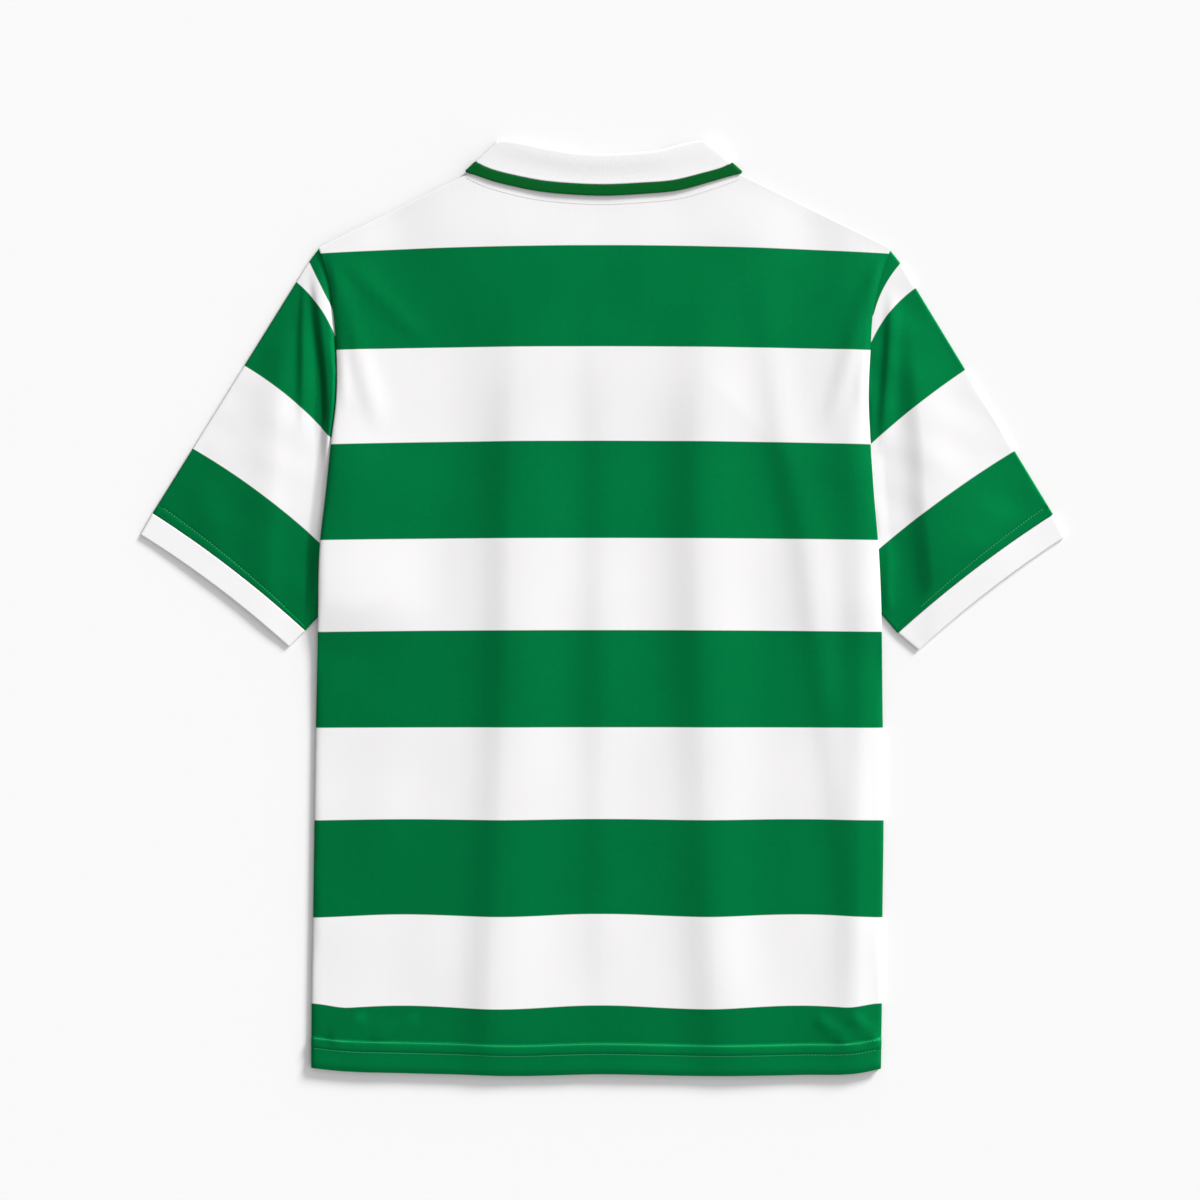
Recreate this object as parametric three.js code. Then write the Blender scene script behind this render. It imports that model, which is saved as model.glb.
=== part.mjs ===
// A short-sleeved football jersey with a folded collar, laid flat with its back side up.
// Sizes are in millimetres. +X points to the wearer's right, +Y to the neck and +Z up from the surface below.
// Heights come from counting the layers of cloth that lie on each other.

import * as THREE from 'three';

// Cloth
const CLOTH = 1.2;
const HEM_WALL = 2.0;
const SEAM_GAP = 0.3;
const LAYER = CLOTH + SEAM_GAP;

// Body
const HEM_DEPTH = 26;
const HEM_STEP = 1.5;
const BODY_ROWS_ABOVE_HEM = 22;
const SHOULDER_COLUMNS = 8;
const FRONT_SHOULDER_COLUMNS = 3;
const REST_LOFT = 0.9;
const SIDE_FADE = 34;
const TOP_FADE = 60;
const RIDGE_START = [-0.12, 0.2];
const RIDGE_END = [0.9, 1.2];
const FRONT_EDGE_GAP = 0.45;
const FRONT_TIP_RISE = 1.5;
const BELOW_UNDERARM = -50;

// Where the sleeves pass between the back and the front
const TUCK_CLEARANCE = 0.3;
const TUCK_MARGIN = 16;
const TUCK_RAMP = 45;

// Sleeves and cuffs
const TUBE_COLUMNS = 10;
const SLEEVE_ROWS_BELOW_TIP = 7;
const TIP_SHARE = 0.03;
const BEND_SHARE = 0.08;
const SLEEVE_LOFT = 1.3;
const SLEEVE_EDGE_FADE = 0.16;
const SLEEVE_CLEAR_OF_BODY = 3;
const SLEEVE_RISE = 22;
const CUFF_ROWS = 3;

// Collar
const FALL_CLEARANCE = 0.3;
const EDGE_BAND = 10;
const STAND_AT_CREASE = 39.6;
const STAND_AT_CENTRE = 26;
const CREASE_TURNS = [45, 90, 135];
const FRONT_COLLAR_ROWS = 5;
const COLLAR_RAMP = 60;
const COLLAR_MARGIN = 18;
const ROLL_ANGLES = [45, 90, 135];

// Side edges of the back, from the hem corners up to the shoulder tips
const SIDE_EDGES = [
  { name: 'hem corner', y: -395, left: -250.0, right: 238.6 },
  { name: 'above hem', y: -363, left: -250.0, right: 239.3 },
  { name: 'low body', y: -260, left: -248.5, right: 240.2 },
  { name: 'middle body', y: -182, left: -247.4, right: 241.1 },
  { name: 'waist', y: -79, left: -245.7, right: 240.2 },
  { name: 'underarm', y: -10, left: -244.0, right: 239.3 },
  { name: 'over sleeve, low', y: 54, left: -242.3, right: 236.5 },
  { name: 'over sleeve, high', y: 101, left: -237.1, right: 232.5 },
  { name: 'armhole foot', y: 142, left: -232.8, right: 229.8 },
  { name: 'armhole, low', y: 179, left: -228.5, right: 228.2 },
  { name: 'armhole, middle', y: 222, left: -228.5, right: 229.9 },
  { name: 'armhole, high', y: 256, left: -231.5, right: 232.5 },
  { name: 'below tip', y: 278, left: -234.5, right: 237.5 },
  { name: 'shoulder tip', y: 309, left: -243.8, right: 247.2 },
];

// Lower edge of the hem
const HEM_LINE = [
  { x: -250, y: -395.0 },
  { x: -226, y: -397.5 },
  { x: -174, y: -399.3 },
  { x: -131, y: -400.3 },
  { x: -80, y: -401.8 },
  { x: 0, y: -400.3 },
  { x: 84, y: -401.8 },
  { x: 127, y: -401.6 },
  { x: 170, y: -400.9 },
  { x: 221, y: -399.2 },
  { x: 238.6, y: -395.8 },
];

// The roll line and the free edge of the collar across the back of the neck, left to right
const BACK_COLLAR = [
  { roll: [-88.4, 399.1], edge: [-117.7, 371.3] },
  { roll: [-85.4, 401.2], edge: [-109.9, 371.6] },
  { roll: [-71.1, 399.7], edge: [-90.6, 365.0] },
  { roll: [-46.2, 394.6], edge: [-58.2, 357.8] },
  { roll: [-21.2, 390.7], edge: [-28.1, 354.6] },
  { roll: [2.8, 389.8], edge: [2.8, 353.5] },
  { roll: [26.1, 390.7], edge: [33.8, 355.0] },
  { roll: [49.3, 393.1], edge: [64.8, 358.0] },
  { roll: [69.1, 398.3], edge: [94.0, 365.8] },
  { roll: [84.4, 401.2], edge: [111.6, 370.3] },
  { roll: [87.9, 399.5], edge: [121.1, 369.6] },
];

// Where the two collar leaves end under the front, at the foot of the V neck
const LEAF_END = { rollX: 3, rollY: 243, edgeX: 62, edgeY: 226 };

// Each sleeve, from the armhole to the cuff: its outer fold and its underarm fold
const SLEEVES = [
  {
    side: 'left',
    outer: { armhole: [-236, 311], tip: [-243.9, 308.6], bend: [-252.2, 297.4], cuff: [-386.8, 81.5] },
    under: { armhole: [-200, 41], cuff: [-255.4, -19.5] },
    cuffEnd: { outer: [-397.2, 63.0], under: [-269.6, -33.3] },
  },
  {
    side: 'right',
    outer: { armhole: [238.6, 310], tip: [247.3, 306.8], bend: [256.0, 296.1], cuff: [387.1, 80.4] },
    under: { armhole: [199.8, 41], cuff: [253.4, -21.7] },
    cuffEnd: { outer: [397.0, 60.9], under: [271.1, -36.5] },
  },
];
const ARMHOLE_BOW = 6;
const CUFF_BOW = 3.6;

// Soft ridges of the cloth: where the crest starts and ends, its half width and its height
const BACK_RIDGES = [
  { from: [-68, 290], to: [-84, -401], halfWidth: 24, height: 2.3 },
  { from: [4, 250], to: [6, -401], halfWidth: 22, height: 1.3 },
  { from: [90, 300], to: [98, -401], halfWidth: 24, height: 1.7 },
  { from: [150, 240], to: [196, -330], halfWidth: 21, height: 1.8 },
  { from: [-190, -330], to: [-238, -380], halfWidth: 13, height: 1.0 },
  { from: [190, -335], to: [224, -385], halfWidth: 13, height: 1.0 },
];
const SLEEVE_RIDGES = [
  { from: [-262, 262], to: [-268, 20], halfWidth: 12, height: 1.7 },
  { from: [-300, 190], to: [-292, 40], halfWidth: 15, height: 1.0 },
  { from: [-352, 110], to: [-330, 50], halfWidth: 14, height: 0.7 },
  { from: [268, 256], to: [278, 16], halfWidth: 12, height: 2.0 },
  { from: [306, 190], to: [312, 40], halfWidth: 15, height: 1.0 },
  { from: [352, 112], to: [338, 48], halfWidth: 14, height: 0.7 },
];

const GREEN = { color: 0x02763f, roughness: 0.55, metalness: 0 };
const WHITE = { color: 0xf2f0f2, roughness: 0.62, metalness: 0 };
const DEEP_GREEN = { color: 0x085f29, roughness: 0.8, metalness: 0 };

const mix = THREE.MathUtils.lerp;
const smooth = (x, from, to) => THREE.MathUtils.smoothstep(x, from, to);
const plan = ([x, y]) => new THREE.Vector2(x, y);

// The value of a table's column at a place along another column, by straight lines between its rows
function readTable(table, key, at, column) {
  const next = table.findIndex((row) => row[key] >= at);
  if (next === 0) return table[0][column];
  if (next < 0) return table[table.length - 1][column];
  const [low, high] = [table[next - 1], table[next]];
  return mix(low[column], high[column], (at - low[key]) / (high[key] - low[key]));
}

// Height that a set of ridges adds at a point in plan, each one fading out at both ends
function ridgeHeight(ridges, point) {
  let height = 0;
  for (const ridge of ridges) {
    const start = plan(ridge.from);
    const run = plan(ridge.to).sub(start);
    const offset = point.clone().sub(start);
    const along = offset.dot(run) / run.lengthSq();
    const across = Math.abs(offset.cross(run)) / run.length();
    const ends = smooth(along, ...RIDGE_START) * (1 - smooth(along, ...RIDGE_END));
    height += ridge.height * Math.exp(-((across / ridge.halfWidth) ** 2)) * ends;
  }
  return height;
}

// One closed wall of cloth from a grid of outer and inner points. A ring of columns closes on itself.
function clothWall(grid, ring = false) {
  const rows = grid.length;
  const columns = grid[0].length;
  const positions = [];
  for (const row of grid) {
    for (const { outer, inner } of row) positions.push(...outer.toArray(), ...inner.toArray());
  }
  const outerAt = (row, column) => 2 * (row * columns + (column % columns));
  const innerAt = (row, column) => outerAt(row, column) + 1;
  const faces = [];
  const quad = (a, b, c, d) => faces.push(a, b, c, a, c, d);
  const spans = ring ? columns : columns - 1;
  for (let row = 0; row + 1 < rows; row += 1) {
    for (let column = 0; column < spans; column += 1) {
      const next = column + 1;
      quad(outerAt(row, column), outerAt(row, next), outerAt(row + 1, next), outerAt(row + 1, column));
      quad(innerAt(row, column), innerAt(row + 1, column), innerAt(row + 1, next), innerAt(row, next));
    }
    if (!ring) {
      const last = columns - 1;
      quad(outerAt(row, 0), outerAt(row + 1, 0), innerAt(row + 1, 0), innerAt(row, 0));
      quad(outerAt(row, last), innerAt(row, last), innerAt(row + 1, last), outerAt(row + 1, last));
    }
  }
  for (let column = 0; column < spans; column += 1) {
    const next = column + 1;
    const top = rows - 1;
    quad(outerAt(0, column), innerAt(0, column), innerAt(0, next), outerAt(0, next));
    quad(outerAt(top, column), outerAt(top, next), innerAt(top, next), innerAt(top, column));
  }
  const geometry = new THREE.BufferGeometry();
  geometry.setAttribute('position', new THREE.Float32BufferAttribute(positions, 3));
  geometry.setIndex(faces);
  geometry.computeVertexNormals();
  return geometry;
}

function piece(name, geometry, finish) {
  const mesh = new THREE.Mesh(geometry, new THREE.MeshStandardMaterial(finish));
  mesh.name = name;
  return mesh;
}

// Collar: a strip folded like a hairpin, with its stand under its fall. Its section is measured inwards from
// the roll line (reach) and away from the middle of the neck's layers (lift).
const STAND_LIFT = LAYER / 2;
const FALL_LIFT = STAND_LIFT + LAYER + FALL_CLEARANCE;
const NECK_MIDDLE = FALL_LIFT + CLOTH / 2;
const ROLL_RADIUS = (FALL_LIFT - STAND_LIFT) / 2;
const ROLL_REACH = ROLL_RADIUS + CLOTH / 2;

function collarStation(roll, edge, turn, outward, stand) {
  const towardsEdge = edge.clone().sub(roll);
  const width = towardsEdge.length();
  const direction = towardsEdge.normalize();
  const angle = THREE.MathUtils.degToRad(turn);
  const lift = new THREE.Vector3(
    outward.x * Math.sin(angle),
    outward.y * Math.sin(angle),
    Math.cos(angle),
  );
  return { roll, direction, width, lift, stand };
}

function standEdge(station, beyond = 0) {
  return station.roll.clone().addScaledVector(station.direction, station.stand + beyond);
}

function backCollarStations() {
  const last = BACK_COLLAR.length - 1;
  const noTurn = new THREE.Vector2();
  return BACK_COLLAR.map(({ roll, edge }, index) => {
    const fromCentre = Math.abs((2 * index) / last - 1);
    const stand = mix(STAND_AT_CENTRE, STAND_AT_CREASE, fromCentre ** 2);
    return collarStation(plan(roll), plan(edge), 0, noTurn, stand);
  });
}

// The stations from a crease round to the front and down to the foot of the V
function frontCollarStations(crease, side) {
  const roll = crease.roll;
  const edge = roll.clone().addScaledVector(crease.direction, crease.width);
  const outward = new THREE.Vector2(-crease.direction.y, crease.direction.x).multiplyScalar(side);
  const turned = CREASE_TURNS.map((turn) => collarStation(roll, edge, turn, outward, crease.stand));
  const rollEnd = new THREE.Vector2(side * LEAF_END.rollX, LEAF_END.rollY);
  const edgeEnd = new THREE.Vector2(side * LEAF_END.edgeX, LEAF_END.edgeY);
  const front = [];
  for (let row = 0; row <= FRONT_COLLAR_ROWS; row += 1) {
    const along = row / FRONT_COLLAR_ROWS;
    const stand = mix(crease.stand, STAND_AT_CENTRE, along);
    front.push(collarStation(
      roll.clone().lerp(rollEnd, along),
      edge.clone().lerp(edgeEnd, along),
      180,
      outward,
      stand,
    ));
  }
  return { turned, front };
}

// Places points of the collar's section, given as reach, lift and the way the wall faces there
function collarRow(station, section) {
  return section.map(({ reach, lift, faceReach, faceLift }) => {
    const wall = (offset) => {
      const across = reach + faceReach * offset;
      const away = lift + faceLift * offset;
      return new THREE.Vector3(
        station.roll.x + station.direction.x * across + station.lift.x * away,
        station.roll.y + station.direction.y * across + station.lift.y * away,
        NECK_MIDDLE + station.lift.z * away,
      );
    };
    return { outer: wall(CLOTH / 2), inner: wall(-CLOTH / 2) };
  });
}

function fallPoint(reach) {
  return { reach, lift: FALL_LIFT, faceReach: 0, faceLift: 1 };
}

function standPoint(reach) {
  return { reach, lift: STAND_LIFT, faceReach: 0, faceLift: -1 };
}

function collarSection(station) {
  const middle = (STAND_LIFT + FALL_LIFT) / 2;
  const roll = ROLL_ANGLES.map((degrees) => {
    const angle = THREE.MathUtils.degToRad(degrees);
    return {
      reach: ROLL_REACH - Math.sin(angle) * ROLL_RADIUS,
      lift: middle - Math.cos(angle) * ROLL_RADIUS,
      faceReach: -Math.sin(angle),
      faceLift: -Math.cos(angle),
    };
  });
  const fallEnd = station.width - EDGE_BAND - SEAM_GAP;
  return [
    standPoint(station.stand),
    standPoint((station.stand + ROLL_REACH) / 2),
    standPoint(ROLL_REACH),
    ...roll,
    fallPoint(ROLL_REACH),
    fallPoint((fallEnd + ROLL_REACH) / 2),
    fallPoint(fallEnd),
  ];
}

function edgeBandSection(station) {
  return [fallPoint(station.width - EDGE_BAND), fallPoint(station.width)];
}

// Sleeves: flattened tubes, each row of which runs from the outer fold to the underarm fold
function tubeRowPlan(outer, under, bow, towardsBody) {
  const chord = under.clone().sub(outer);
  const inwards = new THREE.Vector2(-chord.y, chord.x).normalize();
  inwards.multiplyScalar(Math.sign(inwards.x) === towardsBody ? bow : -bow);
  return (along) => outer.clone()
    .addScaledVector(chord, along)
    .addScaledVector(inwards, 4 * along * (1 - along));
}

// The middle line of a flattened tube's wall and the way it faces, once round
function tubeRing(rowPlan, length, loftAt) {
  const turnRadius = LAYER / 2;
  const turnReach = turnRadius + CLOTH / 2;
  const flat = [];
  for (let column = 0; column < TUBE_COLUMNS; column += 1) {
    const along = column / (TUBE_COLUMNS - 1);
    flat.push(mix(turnReach, length - turnReach, along) / length);
  }
  const middle = CLOTH + SEAM_GAP / 2;
  const point = (along, height) => {
    const at = rowPlan(along);
    return new THREE.Vector3(at.x, at.y, height);
  };
  const wall = (along, lift, faceAlong, faceUp, rise) => {
    const place = (offset) => point(
      along + (faceAlong * offset) / length,
      middle + lift + faceUp * offset + rise,
    );
    return { outer: place(CLOTH / 2), inner: place(-CLOTH / 2) };
  };
  const upper = flat.map((along) => wall(along, turnRadius, 0, 1, loftAt(along, rowPlan(along))));
  const lower = flat.map((along) => wall(along, -turnRadius, 0, -1, 0)).reverse();
  const turn = (edge, inward) => ROLL_ANGLES.map((degrees) => {
    const angle = THREE.MathUtils.degToRad(degrees);
    const along = edge + (inward * (turnReach - Math.sin(angle) * turnRadius)) / length;
    const side = inward < 0 ? 1 : -1;
    return wall(along, side * Math.cos(angle) * turnRadius, -inward * Math.sin(angle), side * Math.cos(angle), 0);
  });
  return [...upper, ...turn(1, -1), ...lower, ...turn(0, 1)];
}

function sleeveRows(sleeve) {
  const outer = sleeve.outer;
  const rows = [
    { outer: plan(outer.armhole), along: 0 },
    { outer: plan(outer.tip), along: TIP_SHARE },
    { outer: plan(outer.bend), along: BEND_SHARE },
  ];
  const bend = rows[2];
  for (let row = 1; row <= SLEEVE_ROWS_BELOW_TIP; row += 1) {
    const part = row / SLEEVE_ROWS_BELOW_TIP;
    rows.push({ outer: bend.outer.clone().lerp(plan(outer.cuff), part), along: mix(bend.along, 1, part) });
  }
  return rows.map(({ outer: outerPoint, along }) => ({
    outer: outerPoint,
    under: plan(sleeve.under.armhole).lerp(plan(sleeve.under.cuff), along),
    bow: mix(ARMHOLE_BOW, CUFF_BOW, along),
  }));
}

function cuffRows(sleeve) {
  const seam = { outer: plan(sleeve.outer.cuff), under: plan(sleeve.under.cuff) };
  const end = { outer: plan(sleeve.cuffEnd.outer), under: plan(sleeve.cuffEnd.under) };
  const start = SEAM_GAP / seam.outer.distanceTo(end.outer);
  const rows = [];
  for (let row = 0; row < CUFF_ROWS; row += 1) {
    const along = mix(start, 1, row / (CUFF_ROWS - 1));
    rows.push({
      outer: seam.outer.clone().lerp(end.outer, along),
      under: seam.under.clone().lerp(end.under, along),
      bow: CUFF_BOW,
    });
  }
  return rows;
}

function tubeGeometry(rows, side) {
  const grid = rows.map((row) => {
    const rowPlan = tubeRowPlan(row.outer, row.under, row.bow, -side);
    return tubeRing(rowPlan, row.outer.distanceTo(row.under), sleeveLoft);
  });
  const geometry = clothWall(grid, true);
  return side < 0 ? flipped(geometry) : geometry;
}

// Turns every face round, for a piece whose rows run the other way
function flipped(geometry) {
  const faces = [...geometry.index.array];
  for (let face = 0; face < faces.length; face += 3) {
    [faces[face + 1], faces[face + 2]] = [faces[face + 2], faces[face + 1]];
  }
  geometry.setIndex(faces);
  geometry.computeVertexNormals();
  return geometry;
}

// The upper layer of a sleeve lifts between its two folds, once it is clear of the body's edge
function sleeveLoft(along, point) {
  const edges = smooth(along, 0, SLEEVE_EDGE_FADE) * (1 - smooth(along, 1 - SLEEVE_EDGE_FADE, 1));
  const side = point.x < 0 ? 'left' : 'right';
  const beyond = Math.abs(point.x) - Math.abs(readTable(SIDE_EDGES, 'y', point.y, side));
  const clear = smooth(beyond, SLEEVE_CLEAR_OF_BODY, SLEEVE_RISE);
  return edges * clear * (SLEEVE_LOFT + ridgeHeight(SLEEVE_RIDGES, point));
}

// Share of the full tuck height under the back: all of it above a sleeve, none further in
function tuckShare(point) {
  const [left] = SLEEVES;
  const at = new THREE.Vector2(-Math.abs(point.x), point.y);
  const tip = plan(left.outer.armhole);
  const pit = plan(left.under.armhole);
  const cuff = plan(left.under.cuff);
  const armhole = pit.clone().sub(tip).normalize();
  const underarm = cuff.clone().sub(pit).normalize();
  const pastArmhole = armhole.cross(at.clone().sub(tip));
  const pastUnderarm = underarm.cross(at.clone().sub(pit));
  const inwards = Math.max(pastArmhole, pastUnderarm) - ARMHOLE_BOW;
  return 1 - smooth(inwards, TUCK_MARGIN, TUCK_MARGIN + TUCK_RAMP);
}

// Share of the full lift that the collar leaves give to the panels above them
function collarShare(point) {
  const crease = BACK_COLLAR[BACK_COLLAR.length - 1].edge;
  const along = THREE.MathUtils.clamp((crease[1] - point.y) / (crease[1] - LEAF_END.edgeY), 0, 1);
  const leafHalf = mix(crease[0], LEAF_END.edgeX, along);
  const beyond = Math.max(Math.abs(point.x) - leafHalf, LEAF_END.edgeY - point.y);
  return 1 - smooth(beyond, COLLAR_MARGIN, COLLAR_MARGIN + COLLAR_RAMP);
}

// Body: a grid of points in plan that fits the hem, both sides and the top edge of a panel
function panelPlan(top, left, right) {
  const last = top.length - 1;
  const hem = top.map((point) => {
    const across = (point.x - top[0].x) / (top[last].x - top[0].x);
    const x = mix(left[0].x, right[0].x, across);
    return new THREE.Vector2(x, readTable(HEM_LINE, 'x', x, 'y'));
  });
  hem[0] = left[0].clone();
  hem[last] = right[0].clone();
  const leftHeight = top[0].y - left[0].y;
  return left.map((leftPoint, row) => {
    const up = (leftPoint.y - left[0].y) / leftHeight;
    return top.map((topPoint, column) => {
      const across = (topPoint.x - top[0].x) / (top[last].x - top[0].x);
      const blend = (key) => mix(hem[column][key], topPoint[key], up)
        + mix(leftPoint[key], right[row][key], across)
        - mix(mix(hem[0][key], hem[last][key], across), mix(top[0][key], top[last][key], across), up);
      return new THREE.Vector2(blend('x'), blend('y'));
    });
  });
}

function line(from, to, spans) {
  return Array.from({ length: spans }, (_, step) => from.clone().lerp(to, step / spans));
}

function panelTop(tips, neck, spans) {
  const last = neck[neck.length - 1];
  return [...line(tips.left, neck[0], spans), ...neck.slice(0, -1), ...line(last, tips.right, spans), tips.right];
}

// Heights of the rows up a side edge: the two ends of the hem's fold, then even steps
function sideLevels() {
  const foot = SIDE_EDGES[0].y;
  const tip = SIDE_EDGES[SIDE_EDGES.length - 1].y;
  const start = foot + HEM_DEPTH + HEM_STEP;
  const levels = [foot, foot + HEM_DEPTH, start];
  for (let row = 1; row <= BODY_ROWS_ABOVE_HEM; row += 1) {
    levels.push(mix(start, tip, row / BODY_ROWS_ABOVE_HEM));
  }
  return levels;
}

const wallOfRow = (row) => (row <= 1 ? HEM_WALL : CLOTH);
const neckLift = (point) => collarShare(point) * (NECK_MIDDLE - STAND_LIFT - CLOTH / 2);

function panelWall(grid, underAt) {
  return clothWall(grid.map((points, row) => points.map((point, column) => {
    const under = underAt(point, row, column, points);
    return {
      outer: new THREE.Vector3(point.x, point.y, under + wallOfRow(row)),
      inner: new THREE.Vector3(point.x, point.y, under),
    };
  })));
}

function backPanel(stations) {
  const sideEdge = (side) => sideLevels().map(
    (y) => new THREE.Vector2(readTable(SIDE_EDGES, 'y', y, side), y),
  );
  const left = sideEdge('left');
  const right = sideEdge('right');
  const tips = { left: left[left.length - 1], right: right[right.length - 1] };
  const neck = stations.map((station) => standEdge(station, SEAM_GAP));
  const top = panelTop(tips, neck, SHOULDER_COLUMNS);
  const grid = panelPlan(top, left, right);
  return panelWall(grid, (point, row, column, points) => {
    const fromSide = Math.min(point.x - points[0].x, points[points.length - 1].x - point.x);
    const fromTop = top[column].y - point.y;
    const free = smooth(fromSide, 0, SIDE_FADE) * smooth(fromTop, 0, TOP_FADE);
    const loft = free * (REST_LOFT + ridgeHeight(BACK_RIDGES, point));
    const tuck = tuckShare(point) * (LAYER + TUCK_CLEARANCE);
    return neckLift(point) + wallOfRow(row) + SEAM_GAP + tuck + loft * (1 - tuckShare(point));
  });
}

// The front ends at the lower layer of each sleeve, so that both lie on the surface below
function frontSide(sleeve, side) {
  const key = side < 0 ? 'left' : 'right';
  const away = -side * FRONT_EDGE_GAP;
  const pit = plan(sleeve.under.armhole);
  const foot = SIDE_EDGES.filter((row) => row.y < BELOW_UNDERARM);
  const points = foot.map((row) => new THREE.Vector2(row[key] + away, row.y));
  points.splice(1, 0, ...[HEM_DEPTH, HEM_DEPTH + HEM_STEP].map((up) => new THREE.Vector2(
    readTable(SIDE_EDGES, 'y', foot[0].y + up, key) + away,
    foot[0].y + up,
  )));
  const underarmY = SIDE_EDGES.find((row) => row.name === 'underarm').y;
  const towardsPit = (readTable(SIDE_EDGES, 'y', underarmY, key) - pit.x) / (plan(sleeve.under.cuff).x - pit.x);
  const exit = pit.clone().lerp(plan(sleeve.under.cuff), towardsPit);
  points.push(exit.clone().add(new THREE.Vector2(away, -SEAM_GAP)));
  points.push(exit.clone().lerp(pit, 0.5).add(new THREE.Vector2(away, -SEAM_GAP)));
  points.push(pit.clone().add(new THREE.Vector2(away, -SEAM_GAP)));
  const [firstRow] = sleeveRows(sleeve);
  const armhole = tubeRowPlan(firstRow.outer, firstRow.under, firstRow.bow, -side);
  for (let column = TUBE_COLUMNS - 2; column > 0; column -= 1) {
    const at = armhole(column / (TUBE_COLUMNS - 1));
    points.push(at.add(new THREE.Vector2(away, 0)));
  }
  points.push(plan(sleeve.outer.armhole).add(new THREE.Vector2(away, FRONT_TIP_RISE)));
  return points;
}

function frontPanel(leftFront, rightFront) {
  const left = frontSide(SLEEVES[0], -1);
  const right = frontSide(SLEEVES[1], 1);
  const neck = [...leftFront, ...[...rightFront].reverse()].map((station) => standEdge(station, SEAM_GAP));
  const tips = { left: left[left.length - 1], right: right[right.length - 1] };
  const top = panelTop(tips, neck, FRONT_SHOULDER_COLUMNS);
  return panelWall(panelPlan(top, left, right), neckLift);
}

function buildJersey() {
  const back = backCollarStations();
  const leftTurn = frontCollarStations(back[0], -1);
  const rightTurn = frontCollarStations(back[back.length - 1], 1);
  const collarStations = [
    ...[...leftTurn.front].reverse(),
    ...[...leftTurn.turned].reverse(),
    ...back,
    ...rightTurn.turned,
    ...rightTurn.front,
  ];
  const collar = clothWall(collarStations.map((station) => collarRow(station, collarSection(station))));
  const band = clothWall(collarStations.map((station) => collarRow(station, edgeBandSection(station))));
  const jersey = new THREE.Group();
  jersey.add(piece('back_panel', backPanel(back), GREEN));
  jersey.add(piece('front_panel', frontPanel(leftTurn.front, rightTurn.front), GREEN));
  SLEEVES.forEach((sleeve) => {
    const side = sleeve.side === 'left' ? -1 : 1;
    jersey.add(piece(`sleeve_${sleeve.side}`, tubeGeometry(sleeveRows(sleeve), side), GREEN));
    jersey.add(piece(`cuff_${sleeve.side}`, tubeGeometry(cuffRows(sleeve), side), WHITE));
  });
  jersey.add(piece('collar', collar, WHITE));
  jersey.add(piece('collar_edge', band, DEEP_GREEN));
  return jersey;
}

const group = buildJersey();
const bounds = new THREE.Box3().setFromObject(group);
const middle = bounds.getCenter(new THREE.Vector3());
group.position.set(-middle.x, -middle.y, -bounds.min.z);

export default group;
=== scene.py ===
"""The looks of a hooped football jersey, laid flat with its back side up.

Lengths are in metres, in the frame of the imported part: +X to the wearer's right, +Y to the neck, +Z up from
the surface that the jersey lies on. Each piece of cloth is a thin closed shell round a middle surface, which
is worked out on a grid of rows and columns.
"""

import logging
import math
from dataclasses import dataclass, field
from enum import Enum

import bpy
import numpy as np
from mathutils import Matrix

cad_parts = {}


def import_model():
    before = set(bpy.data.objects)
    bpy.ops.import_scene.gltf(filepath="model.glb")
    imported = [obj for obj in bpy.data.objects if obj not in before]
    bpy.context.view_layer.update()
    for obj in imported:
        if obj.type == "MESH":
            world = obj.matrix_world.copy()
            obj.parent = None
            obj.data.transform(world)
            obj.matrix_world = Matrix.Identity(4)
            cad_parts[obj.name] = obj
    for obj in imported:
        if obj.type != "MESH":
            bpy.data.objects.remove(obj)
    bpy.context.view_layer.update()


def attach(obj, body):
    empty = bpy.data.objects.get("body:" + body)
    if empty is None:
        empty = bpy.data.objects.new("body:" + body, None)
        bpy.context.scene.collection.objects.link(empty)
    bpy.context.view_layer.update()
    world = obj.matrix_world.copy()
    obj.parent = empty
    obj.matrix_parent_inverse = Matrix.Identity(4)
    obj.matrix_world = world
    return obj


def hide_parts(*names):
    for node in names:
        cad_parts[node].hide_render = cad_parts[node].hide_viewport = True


LOG = logging.getLogger("jersey")

CLOTH = 0.0012
HEM_WALL = 0.0020
SEAM_GAP = 0.0003
LAYER = CLOTH + SEAM_GAP
# From the photograph's own grid, in which the outline is written down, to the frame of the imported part
FRAME_SHIFT = np.array([0.0001, 0.0003, 0.0001])
CLOTH_MAP = "cloth"
HOOP_ATTRIBUTE = "hoop"


class Side(Enum):
    """The wearer's side, with its sign along X."""

    LEFT = -1
    RIGHT = 1

    @property
    def word(self) -> str:
        """The side's name as the nodes have it."""
        return self.name.lower()


def smooth_step(value: np.ndarray, low: float, high: float) -> np.ndarray:
    """Rises from 0 at low to 1 at high along 3t^2 - 2t^3.

    Args:
        value: Where it is read.
        low: Where the rise starts.
        high: Where the rise ends.

    Returns:
        The share risen, from 0 to 1.
    """
    t = np.clip((value - low) / (high - low), 0.0, 1.0)
    return t * t * (3.0 - 2.0 * t)


def smooth_curve(at: np.ndarray, knots: np.ndarray, values: np.ndarray) -> np.ndarray:
    """A soft curve through a table's rows: a cubic between each two rows, with slopes from their neighbours.

    Args:
        at: Where the curve is read.
        knots: The table's places, rising.
        values: The table's values there.

    Returns:
        The curve's values.
    """
    slopes = np.gradient(values, knots)
    row = np.clip(np.searchsorted(knots, at, side="right") - 1, 0, len(knots) - 2)
    span = knots[row + 1] - knots[row]
    t = np.clip((at - knots[row]) / span, 0.0, 1.0)
    start = (1.0 + 2.0 * t) * (1.0 - t) ** 2 * values[row]
    end = t * t * (3.0 - 2.0 * t) * values[row + 1]
    leave = t * (1.0 - t) ** 2 * slopes[row] * span
    arrive = t * t * (t - 1.0) * slopes[row + 1] * span
    return start + end + leave + arrive


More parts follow.
